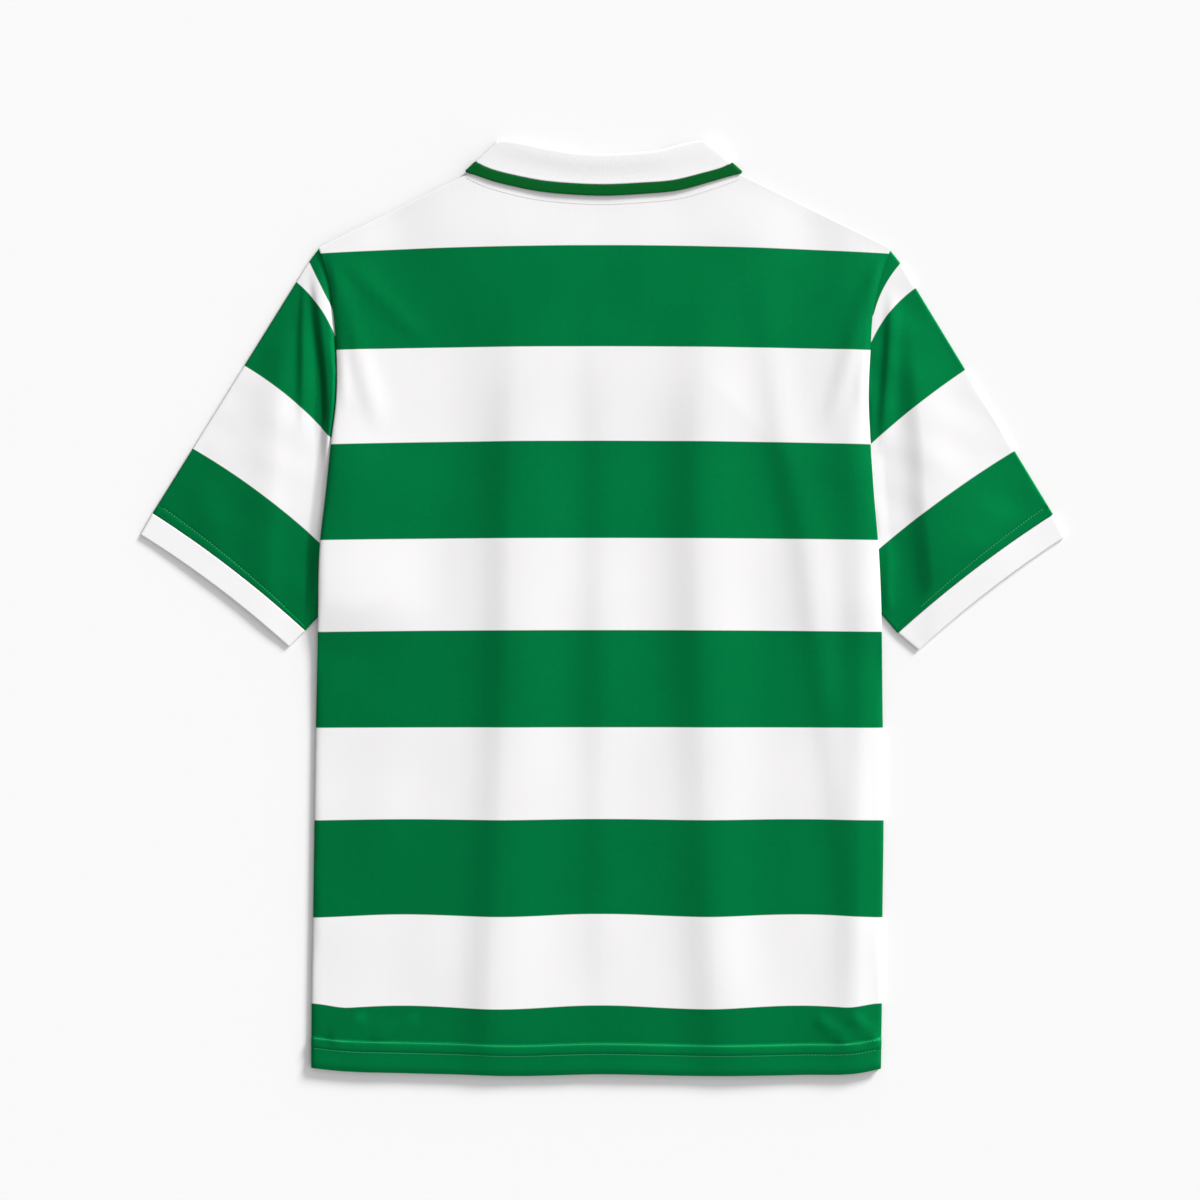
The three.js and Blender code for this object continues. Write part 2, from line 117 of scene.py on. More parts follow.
def edged_steps(length: float, step: float, support: tuple[float, ...]) -> np.ndarray:
    """Places along a length, even in the middle and close together at both ends, so that an edge is round.

    Args:
        length: The whole length.
        step: The space between the middle places.
        support: The places near each end, from the end inwards.

    Returns:
        The places from 0 to length.
    """
    near = np.asarray(support)
    inner = np.linspace(near[-1], length - near[-1], max(2, int(round((length - 2 * near[-1]) / step))) + 1)
    return np.concatenate([near[:-1], inner, length - near[:-1][::-1]])


@dataclass(frozen=True)
class Ridge:
    """A straight soft ridge of the cloth, or a trough where its height is below 0, with two unlike flanks."""

    start: tuple[float, float]
    end: tuple[float, float]
    left: float
    right: float
    height: float

    def at(self, x: np.ndarray, y: np.ndarray) -> np.ndarray:
        """Height at points in plan: a bell across the crest's line, faded out past both of its ends.

        The bell is half as wide as left on the crest's -X side and as right on its +X side.

        Args:
            x: The points' places along X.
            y: The points' places along Y.

        Returns:
            The height at each point.
        """
        run_x, run_y = self.end[0] - self.start[0], self.end[1] - self.start[1]
        length = math.hypot(run_x, run_y)
        off_x, off_y = x - self.start[0], y - self.start[1]
        along = (off_x * run_x + off_y * run_y) / length**2
        across = (off_x * run_y - off_y * run_x) / length * math.copysign(1.0, run_y)
        ends = smooth_step(along, -0.12, 0.2) * (1.0 - smooth_step(along, 0.9, 1.2))
        return self.height * np.exp(-((across / np.where(across < 0.0, self.left, self.right)) ** 2)) * ends


@dataclass(frozen=True)
class Fold:
    """A long soft fold down the cloth, whose crest wanders and whose height changes on its way."""

    # Rows of y, the crest's x and its height, from the hem up
    path: tuple[tuple[float, float, float], ...]
    left: float
    right: float

    def at(self, x: np.ndarray, y: np.ndarray) -> np.ndarray:
        """Height at points in plan: a bell across the crest, narrow on one side and wide on the other.

        Args:
            x: The points' places along X.
            y: The points' places along Y.

        Returns:
            The height at each point.
        """
        rows = np.array(self.path)
        off = x - smooth_curve(y, rows[:, 0], rows[:, 1])
        height = smooth_curve(y, rows[:, 0], rows[:, 2])
        return height * np.exp(-((off / np.where(off < 0.0, self.left, self.right)) ** 2))


def relief_at(forms: tuple[Ridge | Fold, ...], x: np.ndarray, y: np.ndarray) -> np.ndarray:
    """The sum of several ridges and folds at points in plan.

    Args:
        forms: The ridges and folds.
        x: The points' places along X.
        y: The points' places along Y.

    Returns:
        The height at each point.
    """
    return sum((form.at(x, y) for form in forms), np.zeros_like(x))


@dataclass(frozen=True)
class Unevenness:
    """The slight waviness of cloth that nobody has pressed: a few sine waves of mixed length and direction."""

    height: float
    shortest: float
    longest: float
    waves: int
    seed: int

    def at(self, x: np.ndarray, y: np.ndarray) -> np.ndarray:
        """Height at points in plan: the mean of the sines of their distance along each wave's own direction.

        Args:
            x: The points' places along X.
            y: The points' places along Y.

        Returns:
            The height at each point.
        """
        draw = np.random.default_rng(self.seed)
        total = np.zeros_like(x)
        for _ in range(self.waves):
            angle, phase = draw.uniform(0.0, math.pi), draw.uniform(0.0, 2.0 * math.pi)
            length = draw.uniform(self.shortest, self.longest)
            total += np.sin(2.0 * math.pi * (x * math.cos(angle) + y * math.sin(angle)) / length + phase)
        return self.height * total / math.sqrt(self.waves)


# Meshes


def set_surface(piece: bpy.types.Object, points: np.ndarray, quads: np.ndarray) -> None:
    """Puts points and four-sided faces into a piece's mesh and smooths them.

    Args:
        piece: The piece, with an empty mesh.
        points: The points, one in each row.
        quads: The four points of each face.
    """
    mesh = piece.data
    mesh.vertices.add(len(points))
    mesh.vertices.foreach_set("co", points.astype(np.float32).ravel())
    mesh.loops.add(quads.size)
    mesh.loops.foreach_set("vertex_index", quads.astype(np.int32).ravel())
    mesh.polygons.add(len(quads))
    mesh.polygons.foreach_set("loop_start", np.arange(0, quads.size, 4, dtype=np.int32))
    mesh.polygons.foreach_set("use_smooth", np.ones(len(quads), dtype=bool))
    mesh.update(calc_edges=True)
    mesh.validate()


def new_piece(name: str) -> bpy.types.Object:
    """An empty mesh object at the origin, in the scene.

    Args:
        name: Its name.

    Returns:
        The object.
    """
    piece = bpy.data.objects.new(name, bpy.data.meshes.new(name))
    bpy.context.scene.collection.objects.link(piece)
    return piece


def surface_normals(middle: np.ndarray, ring: bool) -> np.ndarray:
    """Unit normals of a grid of points: columns crossed with rows, each by differences of its neighbours.

    Args:
        middle: The grid's points, by row and column.
        ring: Whether the columns close on themselves.

    Returns:
        The normals, by row and column.
    """
    if ring:
        along_columns = np.roll(middle, -1, axis=1) - np.roll(middle, 1, axis=1)
    else:
        along_columns = np.gradient(middle, axis=1)
    along_rows = np.gradient(middle, axis=0)
    normals = np.cross(along_columns, along_rows)
    return normals / np.maximum(np.linalg.norm(normals, axis=2, keepdims=True), 1e-12)


@dataclass
class Shell:
    """A closed wall of cloth round a grid of middle points.

    The outer face is the grid moved out by half the wall along its normals and the inner face is moved in,
    and strips of faces close the open edges. Where the columns form a ring, only the two ends are closed.
    """

    name: str
    middle: np.ndarray
    wall: np.ndarray
    ring: bool = False
    turned: bool = False
    flat_map: np.ndarray | None = None
    hoop: np.ndarray | None = None
    normals: np.ndarray = field(init=False)

    def __post_init__(self) -> None:
        """Works out the normals, which face the other way on a turned shell."""
        self.normals = surface_normals(self.middle, self.ring) * (-1.0 if self.turned else 1.0)

    def quads(self) -> np.ndarray:
        """The faces of both sides and of the closing strips, as rows of four point numbers.

        Returns:
            The faces, with the outer face's points first and the inner face's after them.
        """
        rows, columns = self.middle.shape[:2]
        outer = np.arange(rows * columns).reshape(rows, columns)
        if self.ring:
            outer = np.concatenate([outer, outer[:, :1]], axis=1)
        inner = outer + rows * columns
        faces = [
            [outer[:-1, :-1], outer[:-1, 1:], outer[1:, 1:], outer[1:, :-1]],
            [inner[:-1, :-1], inner[1:, :-1], inner[1:, 1:], inner[:-1, 1:]],
            [outer[0, :-1], inner[0, :-1], inner[0, 1:], outer[0, 1:]],
            [outer[-1, :-1], outer[-1, 1:], inner[-1, 1:], inner[-1, :-1]],
        ]
        if not self.ring:
            faces.append([outer[:-1, 0], outer[1:, 0], inner[1:, 0], inner[:-1, 0]])
            faces.append([outer[:-1, -1], inner[:-1, -1], inner[1:, -1], outer[1:, -1]])
        quads = np.concatenate([np.stack([corner.ravel() for corner in face], axis=1) for face in faces])
        return quads[:, ::-1] if self.turned else quads

    def build(self) -> bpy.types.Object:
        """Makes the shell's object, with its map of the flat cloth and its hoop distances.

        Returns:
            The object.
        """
        half = (np.broadcast_to(self.wall, self.middle.shape[:2]) / 2.0)[:, :, None]
        outer = (self.middle + self.normals * half).reshape(-1, 3)
        inner = (self.middle - self.normals * half).reshape(-1, 3)
        piece = new_piece(self.name)
        set_surface(piece, np.concatenate([outer, inner]) + FRAME_SHIFT, self.quads())
        if self.flat_map is not None:
            flat = np.tile(self.flat_map.reshape(-1, 2), (2, 1))
            corners = np.zeros(len(piece.data.loops), dtype=np.int32)
            piece.data.loops.foreach_get("vertex_index", corners)
            layer = piece.data.uv_layers.new(name=CLOTH_MAP)
            layer.data.foreach_set("uv", flat[corners].astype(np.float32).ravel())
        if self.hoop is not None:
            values = np.tile(self.hoop.ravel(), 2).astype(np.float32)
            piece.data.attributes.new(HOOP_ATTRIBUTE, "FLOAT", "POINT").data.foreach_set("value", values)
        return piece


def rounded_wall(wall: float, from_edge: np.ndarray) -> np.ndarray:
    """A wall that thins to a round edge: its section near the edge is half of a circle.

    Args:
        wall: The full thickness.
        from_edge: Distance of each point from the nearest edge.

    Returns:
        The thickness at each point.
    """
    share = np.clip(1.0 - from_edge / (wall / 2.0), 0.0, 0.97)
    return wall * np.sqrt(1.0 - share**2)


# Hoops


@dataclass(frozen=True)
class SleeveHoop:
    """A hoop's edge across a sleeve, from the outer fold to the body, bowed towards the shoulder."""

    outer: tuple[float, float]
    inner: tuple[float, float]
    bow: float

    def beyond(self, x: np.ndarray, y: np.ndarray) -> np.ndarray:
        """Distance past the edge towards the cuff: from its straight line, and on by its bow's parabola.

        Args:
            x: The points' places along X.
            y: The points' places along Y.

        Returns:
            The distance, below 0 on the shoulder's side.
        """
        run_x, run_y = self.inner[0] - self.outer[0], self.inner[1] - self.outer[1]
        length = math.hypot(run_x, run_y)
        off_x, off_y = x - self.outer[0], y - self.outer[1]
        along = np.clip((off_x * run_x + off_y * run_y) / length**2, 0.0, 1.0)
        straight = (off_x * run_y - off_y * run_x) / length * math.copysign(1.0, run_x)
        return straight + self.bow * 4.0 * along * (1.0 - along)


@dataclass(frozen=True)
class BodyHoop:
    """A hoop's edge across the body, which drops a little towards both sides."""

    middle: float
    drop: float
    drop_at: float = 0.226
    wave: float = 0.0015
    wave_length: float = 0.172
    wave_start: float = -0.088
    upturn: float = 0.0

    def beyond(self, x: np.ndarray, y: np.ndarray) -> np.ndarray:
        """Distance below the edge: a parabola that drops at the sides, with a small wave low on the body.

        Args:
            x: The points' places along X.
            y: The points' places along Y.

        Returns:
            The distance, below 0 above the edge.
        """
        low = float(smooth_step(np.array(-self.middle), 0.10, 0.34))
        wave = self.wave * low * np.cos(2.0 * math.pi * (x - self.wave_start) / self.wave_length)
        turned_up = self.upturn * smooth_step(np.abs(x + 0.005), 0.212, 0.246)
        return self.middle - self.drop * (x / self.drop_at) ** 2 - wave + turned_up - y


def hoop_distance(edges: tuple, first_is_green: bool, x: np.ndarray, y: np.ndarray) -> np.ndarray:
    """Distance to the nearest hoop edge, above 0 in green cloth and below 0 in white.

    Args:
        edges: The hoops' edges, in order.
        first_is_green: Whether the cloth before the first edge is green.
        x: The points' places along X.
        y: The points' places along Y.

    Returns:
        The distance at each point.
    """
    beyond = np.stack([edge.beyond(x, y) for edge in edges])
    passed = (beyond > 0.0).sum(axis=0)
    green = (passed % 2 == 0) == first_is_green
    return np.abs(beyond).min(axis=0) * np.where(green, 1.0, -1.0)


BODY_HOOPS = (
    BodyHoop(0.3111, 0.0060),
    BodyHoop(0.2243, 0.0030),
    BodyHoop(0.1434, 0.0030),
    BodyHoop(0.0600, 0.0017),
    BodyHoop(-0.0191, 0.0013),
    BodyHoop(-0.1025, 0.0004),
    BodyHoop(-0.1816, 0.0004),
    BodyHoop(-0.2638, 0.0009),
    BodyHoop(-0.3427, 0.0005, upturn=0.0050),
)
SLEEVE_HOOPS = {
    Side.LEFT: (
        SleeveHoop((-0.2522, 0.2974), (-0.2311, 0.2544), 0.000),
        SleeveHoop((-0.2638, 0.2806), (-0.2294, 0.2320), 0.004),
        SleeveHoop((-0.3076, 0.2079), (-0.2330, 0.1452), 0.004),
        SleeveHoop((-0.3526, 0.1371), (-0.2414, 0.0544), 0.004),
    ),
    Side.RIGHT: (
        SleeveHoop((0.2560, 0.2961), (0.2330, 0.2527), 0.003),
        SleeveHoop((0.2691, 0.2750), (0.2311, 0.2291), 0.004),
        SleeveHoop((0.3116, 0.2045), (0.2296, 0.1400), 0.002),
        SleeveHoop((0.3547, 0.1354), (0.2370, 0.0503), 0.003),
    ),
}


# The lie of the whole garment: its outline in plan and the heights of its layers


@dataclass(frozen=True)
class SleeveLine:
    """The outer fold and the underarm fold of one sleeve, from the armhole to the cuff's end."""

    armhole: tuple[float, float]
    tip: tuple[float, float]
    bend: tuple[float, float]
    cuff: tuple[float, float]
    cuff_end: tuple[float, float]
    under_armhole: tuple[float, float]
    under_cuff: tuple[float, float]
    under_end: tuple[float, float]


@dataclass
class Lie:
    """The plan outline and the layer heights that every piece shares."""

    # Rows of y, left x, right x up the sides of the back, from the hem corners to the shoulder tips
    sides: np.ndarray = field(default_factory=lambda: np.array([
        (-0.395, -0.2500, 0.2386),
        (-0.363, -0.2500, 0.2393),
        (-0.260, -0.2485, 0.2402),
        (-0.182, -0.2474, 0.2411),
        (-0.079, -0.2457, 0.2402),
        (-0.010, -0.2440, 0.2393),
        (0.054, -0.2423, 0.2365),
        (0.101, -0.2371, 0.2325),
        (0.142, -0.2328, 0.2298),
        (0.179, -0.2285, 0.2282),
        (0.222, -0.2285, 0.2299),
        (0.256, -0.2315, 0.2325),
        (0.278, -0.2345, 0.2375),
        (0.309, -0.2438, 0.2472),
    ]))
    # Rows of x and y along the hem's lower edge
    hem: np.ndarray = field(default_factory=lambda: np.array([
        (-0.2500, -0.3950),
        (-0.2260, -0.3975),
        (-0.1740, -0.3993),
        (-0.1310, -0.4003),
        (-0.0800, -0.4018),
        (0.0000, -0.4003),
        (0.0840, -0.4018),
        (0.1270, -0.4016),
        (0.1700, -0.4009),
        (0.2210, -0.3992),
        (0.2386, -0.3958),
    ]))
    hem_depth: float = 0.026
    hem_ease: float = 0.0015
    rest_loft: float = 0.0009
    side_fade: float = 0.034
    top_fade: float = 0.060
    tuck_rise: float = LAYER + 0.0003
    tuck_margin: float = 0.016
    tuck_ramp: float = 0.045
    armhole_bow: float = 0.006
    cuff_bow: float = 0.0036
    stand_lift: float = LAYER / 2.0
    fall_lift: float = LAYER / 2.0 + LAYER + 0.0003
    collar_margin: float = 0.018
    collar_ramp: float = 0.090
    leaf_end_edge: tuple[float, float] = (0.062, 0.226)
    crease_edge: tuple[float, float] = (0.1211, 0.3696)
    sleeves: dict = field(default_factory=lambda: {
        Side.LEFT: SleeveLine(
            armhole=(-0.2360, 0.3110), tip=(-0.2439, 0.3086), bend=(-0.2522, 0.2974),
            cuff=(-0.3868, 0.0815), cuff_end=(-0.3972, 0.0630),
            under_armhole=(-0.2000, 0.0410), under_cuff=(-0.2554, -0.0195), under_end=(-0.2696, -0.0333),
        ),
        Side.RIGHT: SleeveLine(
            armhole=(0.2386, 0.3100), tip=(0.2473, 0.3068), bend=(0.2560, 0.2961),
            cuff=(0.3871, 0.0804), cuff_end=(0.3970, 0.0609),
            under_armhole=(0.1998, 0.0410), under_cuff=(0.2534, -0.0217), under_end=(0.2711, -0.0365),
        ),
    })

    edge_lift: dict = field(default_factory=lambda: {Side.LEFT: 0.0050, Side.RIGHT: 0.0016})
    # Share of the lift that the very edge has, the width of its rounding and how far the sleeve follows it
    edge_share: float = 0.6
    edge_round: float = 0.005
    edge_reach: float = 0.0125

    @property
    def neck_middle(self) -> float:
        """Height of the middle of the neck's four layers."""
        return self.fall_lift + CLOTH / 2.0

    def side_x(self, y: np.ndarray, side: Side) -> np.ndarray:
        """The back's side edge at a height up the body, as a soft curve through its table."""
        return smooth_curve(y, self.sides[:, 0], self.sides[:, 1 if side is Side.LEFT else 2])

    def hem_y(self, x: np.ndarray) -> np.ndarray:
        """The hem's lower edge, as a soft curve through its table."""
        return smooth_curve(x, self.hem[:, 0], self.hem[:, 1])

    def tuck_share(self, x: np.ndarray, y: np.ndarray) -> np.ndarray:
        """Share of the tuck's height: 1 over a sleeve, falling to 0 past its armhole and underarm lines.

        Args:
            x: The points' places along X.
            y: The points' places along Y.

        Returns:
            The share at each point.
        """
        line = self.sleeves[Side.LEFT]
        tip, pit, cuff = (np.array(point) for point in (line.armhole, line.under_armhole, line.under_cuff))
        down, out = (pit - tip) / np.linalg.norm(pit - tip), (cuff - pit) / np.linalg.norm(cuff - pit)
        mirrored = -np.abs(x)
        past_armhole = down[0] * (y - tip[1]) - down[1] * (mirrored - tip[0])
        past_underarm = out[0] * (y - pit[1]) - out[1] * (mirrored - pit[0])
        inwards = np.maximum(past_armhole, past_underarm) - self.armhole_bow
        return 1.0 - smooth_step(inwards, self.tuck_margin, self.tuck_margin + self.tuck_ramp)

    def edge_rise(self, x: np.ndarray, y: np.ndarray) -> np.ndarray:
        """Rise of the back, and of the sleeve below it, along the body's edge where it lies over the sleeve.

        It is full from the underarm to the middle of the armhole and fades to the shoulder and to the side
        below the sleeve. The edge itself is rounded, the back sinks slowly inwards, and the sleeve soon sinks
        outwards.

        Args:
            x: The points' places along X.
            y: The points' places along Y.

        Returns:
            The rise at each point.
        """
        below_shoulder = 1.0 - 0.6 * smooth_step(y, 0.11, 0.22) - 0.4 * smooth_step(y, 0.26, 0.305)
        up = smooth_step(y, -0.045, 0.010) * below_shoulder
        edge = np.where(x < 0.0, -self.side_x(y, Side.LEFT), self.side_x(y, Side.RIGHT))
        lift = np.where(x < 0.0, self.edge_lift[Side.LEFT], self.edge_lift[Side.RIGHT])
        inside = edge - np.abs(x)
        rounded = np.sqrt(1.0 - np.clip(1.0 - inside / self.edge_round, 0.0, 1.0) ** 2)
        back = (self.edge_share + (1.0 - self.edge_share) * rounded) * (1.0 - smooth_step(inside, 0.010, 0.110))
        sleeve = self.edge_share * (1.0 - smooth_step(-inside, 0.0, self.edge_reach))
        return lift * up * np.where(inside > 0.0, back, sleeve)

    def collar_share(self, x: np.ndarray, y: np.ndarray) -> np.ndarray:
        """Share of the lift over the collar's hidden leaves: 1 on them, falling to 0 around them.

        Args:
            x: The points' places along X.
            y: The points' places along Y.

        Returns:
            The share at each point.
        """
        top, foot = self.crease_edge, self.leaf_end_edge
        along = np.clip((top[1] - y) / (top[1] - foot[1]), 0.0, 1.0)
        half = top[0] + (foot[0] - top[0]) * along
        beyond = np.maximum(np.abs(x) - half, foot[1] - y)
        return 1.0 - smooth_step(beyond, self.collar_margin, self.collar_margin + self.collar_ramp)

    def neck_lift(self, x: np.ndarray, y: np.ndarray) -> np.ndarray:
        """Height of the front's underside: raised by the collar's leaves near the neck, 0 elsewhere."""
        return self.collar_share(x, y) * (self.neck_middle - self.stand_lift - CLOTH / 2.0)

    def wall(self, x: np.ndarray, y: np.ndarray) -> np.ndarray:
        """The wall of either body panel: doubled below the hem's seam."""
        above = y - self.hem_y(x)
        share = smooth_step(above, self.hem_depth - self.hem_ease, self.hem_depth + self.hem_ease)
        return HEM_WALL + (CLOTH - HEM_WALL) * share


# Body


@dataclass
class BackPanel:
    """The back of the body, which shows: hooped cloth with soft folds, a sewn hem and the neckline's seam."""

    lie: Lie
    neckline: np.ndarray
    step: float = 0.0033
    hem_step: float = 0.0008
    side_puff: float = 0.0017
    side_round: float = 0.0060
    edge_support: tuple[float, ...] = (0.0, 0.0002, 0.0006, 0.0014, 0.0026, 0.0042)
    stitch_rows: tuple[float, ...] = (0.0172, 0.0258)
    groove_depth: float = 0.00010
    swell_height: float = 0.00070
    # Height of the cloth above the upper row, where the swell ends
    swell_left: float = 0.00028
    band_height: float = 0.00085
    pucker_height: float = 0.00007
    folds: tuple[Fold, ...] = (
        Fold((
            (-0.402, -0.094, 0.0006), (-0.376, -0.094, 0.0026), (-0.340, -0.094, 0.0034),
            (-0.190, -0.086, 0.0033), (-0.030, -0.079, 0.0037), (0.130, -0.077, 0.0032),
            (0.208, -0.072, 0.0016), (0.300, -0.070, 0.0003), (0.345, -0.070, 0.0),
        ), 0.021, 0.045),
        Fold((
            (-0.402, 0.004, 0.0002), (-0.300, 0.002, 0.0008), (-0.030, 0.000, 0.0012), (0.130, 0.000, 0.0010),
            (0.230, -0.004, 0.0005), (0.310, -0.004, 0.0),
        ), 0.015, 0.026),
        Fold((
            (-0.402, 0.104, 0.0006), (-0.376, 0.102, 0.0022), (-0.350, 0.100, 0.0028),
            (-0.190, 0.092, 0.0029), (-0.030, 0.087, 0.0033), (0.130, 0.085, 0.0029),
            (0.208, 0.090, 0.0014), (0.300, 0.091, 0.0002), (0.340, 0.091, 0.0),
        ), 0.022, 0.033),
    )
    creases: tuple[Ridge | Fold, ...] = (
        Fold((
            (-0.300, 0.212, 0.0), (-0.200, 0.206, 0.0008), (-0.114, 0.197, 0.0012), (-0.030, 0.185, 0.0016),
            (0.050, 0.175, 0.0015), (0.130, 0.157, 0.0016), (0.208, 0.147, 0.0009), (0.300, 0.136, 0.0),
        ), 0.013, 0.017),
        Fold((
            (-0.402, 0.214, 0.0003), (-0.360, 0.215, 0.0012), (-0.200, 0.219, 0.0016), (-0.030, 0.2215, 0.0016),
            (0.080, 0.2200, 0.0012), (0.130, 0.2150, 0.0014), (0.200, 0.2160, 0.0012), (0.290, 0.2160, 0.0),
        ), 0.015, 0.012),
        Ridge((-0.237, 0.300), (-0.222, 0.185), 0.005, 0.006, 0.0009),
        Ridge((-0.234, 0.302), (-0.196, 0.170), 0.008, 0.010, 0.0011),
        Ridge((-0.228, 0.304), (-0.160, 0.235), 0.007, 0.009, 0.0006),
        Ridge((0.240, 0.298), (0.222, 0.185), 0.005, 0.006, 0.0009),
        Ridge((0.237, 0.300), (0.198, 0.170), 0.008, 0.009, 0.0011),
        Ridge((0.231, 0.303), (0.163, 0.235), 0.007, 0.009, 0.0006),
        Ridge((-0.206, -0.350), (-0.232, -0.370), 0.005, 0.006, 0.0015),
        Ridge((-0.160, -0.352), (-0.194, -0.369), 0.005, 0.006, 0.0012),
        Ridge((0.183, -0.352), (0.208, -0.372), 0.005, 0.006, 0.0013),
        Ridge((0.213, -0.350), (0.235, -0.370), 0.005, 0.005, 0.0012),
    )
    unevenness: Unevenness = Unevenness(0.00020, 0.030, 0.120, 11, 3)

    def outline(self) -> tuple[np.ndarray, np.ndarray]:
        """Rows and columns in plan: columns run evenly from side to side, rows up from the hem.

        The rows keep the hem's own curve low down and take on the shoulders' and neckline's higher up.

        Returns:
            The points' X and Y, by row and column.
        """
        lie = self.lie
        foot, tip = lie.sides[0, 0], lie.sides[-1, 0]
        width = lie.sides[0, 2] - lie.sides[0, 1]
        across = edged_steps(width, self.step, self.edge_support) / width
        hem_rows = edged_steps(lie.hem_depth + 0.004, self.hem_step, (0.0, 0.0002, 0.0006, 0.0014))
        body_rows = edged_steps(tip - foot - hem_rows[-1], self.step, self.edge_support)
        up = np.concatenate([hem_rows, hem_rows[-1] + body_rows[len(self.edge_support) :]])[:, None]
        left, right = lie.side_x(foot + up, Side.LEFT), lie.side_x(foot + up, Side.RIGHT)
        x = left + (right - left) * across
        tips = lie.sides[-1]
        top_x = tips[1] + (tips[2] - tips[1]) * across
        top = np.interp(top_x, *self.top_edge())
        hem = lie.hem_y(x[:1])
        extra = top - hem - (tip - foot)
        y = hem + up + extra * smooth_step(up, 0.05, tip - foot)
        return x, y

    def top_edge(self) -> tuple[np.ndarray, np.ndarray]:
        """The shoulders and the neckline, from tip to tip.

        Returns:
            The X and the Y of the edge's points.
        """
        tips = self.lie.sides[-1]
        left, right = (tips[1], tips[0]), (tips[2], tips[0])
        edge = np.array([left, *self.neckline, right])
        return edge[:, 0], edge[:, 1]

    def stitched(self, above_hem: np.ndarray, x: np.ndarray) -> np.ndarray:
        """The hem's own relief: grooves at the stitch rows, a swell between them, a raised band and puckers.

        The swell rises in a short steep flank from the lower row and sinks gently to the upper one, above
        which the cloth keeps what is left of it. The band below the rows rises and then rounds down to the edge.

        Args:
            above_hem: Distance of each point above the hem's edge.
            x: The points' places along X.

        Returns:
            The height that it adds.
        """
        low, high = self.stitch_rows
        relief = np.zeros_like(above_hem)
        for row in self.stitch_rows:
            relief -= self.groove_depth * np.exp(-(((above_hem - row) / 0.0010) ** 2))
        rise = smooth_step(above_hem, low + 0.0002, low + 0.0024)
        sink = 1.0 - 0.6 * smooth_step(above_hem, high - 0.0058, high - 0.0002)
        relief += self.swell_height * rise * sink * (above_hem < high)
        relief += self.swell_left * (above_hem >= high)
        below_rows = smooth_step(low - above_hem, 0.0, 0.014)
        relief += self.band_height * below_rows * smooth_step(above_hem, 0.0, 0.0046)
        pucker = np.sin(2.0 * math.pi * x / 0.0071 + 1.7 * np.sin(2.0 * math.pi * x / 0.053))
        nearness = np.exp(-(((above_hem - high + 0.003) / 0.006) ** 2))
        return relief + self.pucker_height * pucker * nearness

    def middle_height(self, x: np.ndarray, y: np.ndarray) -> np.ndarray:
        """Height of the middle of the back's wall.

        It is the front below it, the seam's gap, the tuck over the sleeves, the puff of the side edges and
        the loft of the folds, which fades to nothing at the sides, the shoulders and the neckline.

        Args:
            x: The points' places along X.
            y: The points' places along Y.

        Returns:
            The height at each point.
        """
        lie = self.lie
        from_side = np.minimum(x - lie.side_x(y, Side.LEFT), lie.side_x(y, Side.RIGHT) - x)
        from_top = np.interp(x, *self.top_edge()) - y
        below_top = smooth_step(from_top, 0.0, lie.top_fade)
        free = smooth_step(from_side, 0.0, lie.side_fade) * below_top
        tuck = lie.tuck_share(x, y)
        puffed = self.rounding(from_side) * below_top * self.side_puff * (1.0 - tuck)
        folded = lie.rest_loft - self.side_puff / 2.0 + relief_at(self.folds, x, y)
        loft = puffed + free * folded * (1.0 - tuck)
        wall = lie.wall(x, y)
        height = lie.neck_lift(x, y) + wall + SEAM_GAP + tuck * lie.tuck_rise + loft + wall / 2.0
        height += lie.edge_rise(x, y)
        near_edge = smooth_step(from_side, 0.0, 0.006) * smooth_step(from_top, 0.0, 0.020)
        height += near_edge * (relief_at(self.creases, x, y) + self.unevenness.at(x, y))
        return height + self.stitched(y - lie.hem_y(x), x)

    def rounding(self, from_side: np.ndarray) -> np.ndarray:
        """Rise from a side edge: a quarter of an ellipse, from 0 at the edge to 1 where the cloth is level."""
        share = np.clip(1.0 - from_side / self.side_round, 0.0, 1.0)
        return np.sqrt(1.0 - share**2)

    def top_height(self, x: np.ndarray, y: np.ndarray) -> np.ndarray:
        """Height of the back's outer face."""
        return self.middle_height(x, y) + self.lie.wall(x, y) / 2.0

    def build(self) -> bpy.types.Object:
        """Makes the panel's cloth.

        Returns:
            The piece.
        """
        x, y = self.outline()
        lie = self.lie
        middle = np.stack([x, y, self.middle_height(x, y)], axis=2)
        from_side = np.minimum(x - x[:, :1], x[:, -1:] - x)
        from_edge = np.minimum(from_side, np.minimum(y - y[:1], y[-1:] - y))
        wall = lie.wall(x, y)
        wall = wall * rounded_wall(1.0, from_edge / wall)
        hoop = hoop_distance(BODY_HOOPS, False, x, y)
        return Shell("back_cloth", middle, wall, flat_map=np.stack([x, y], axis=2), hoop=hoop).build()


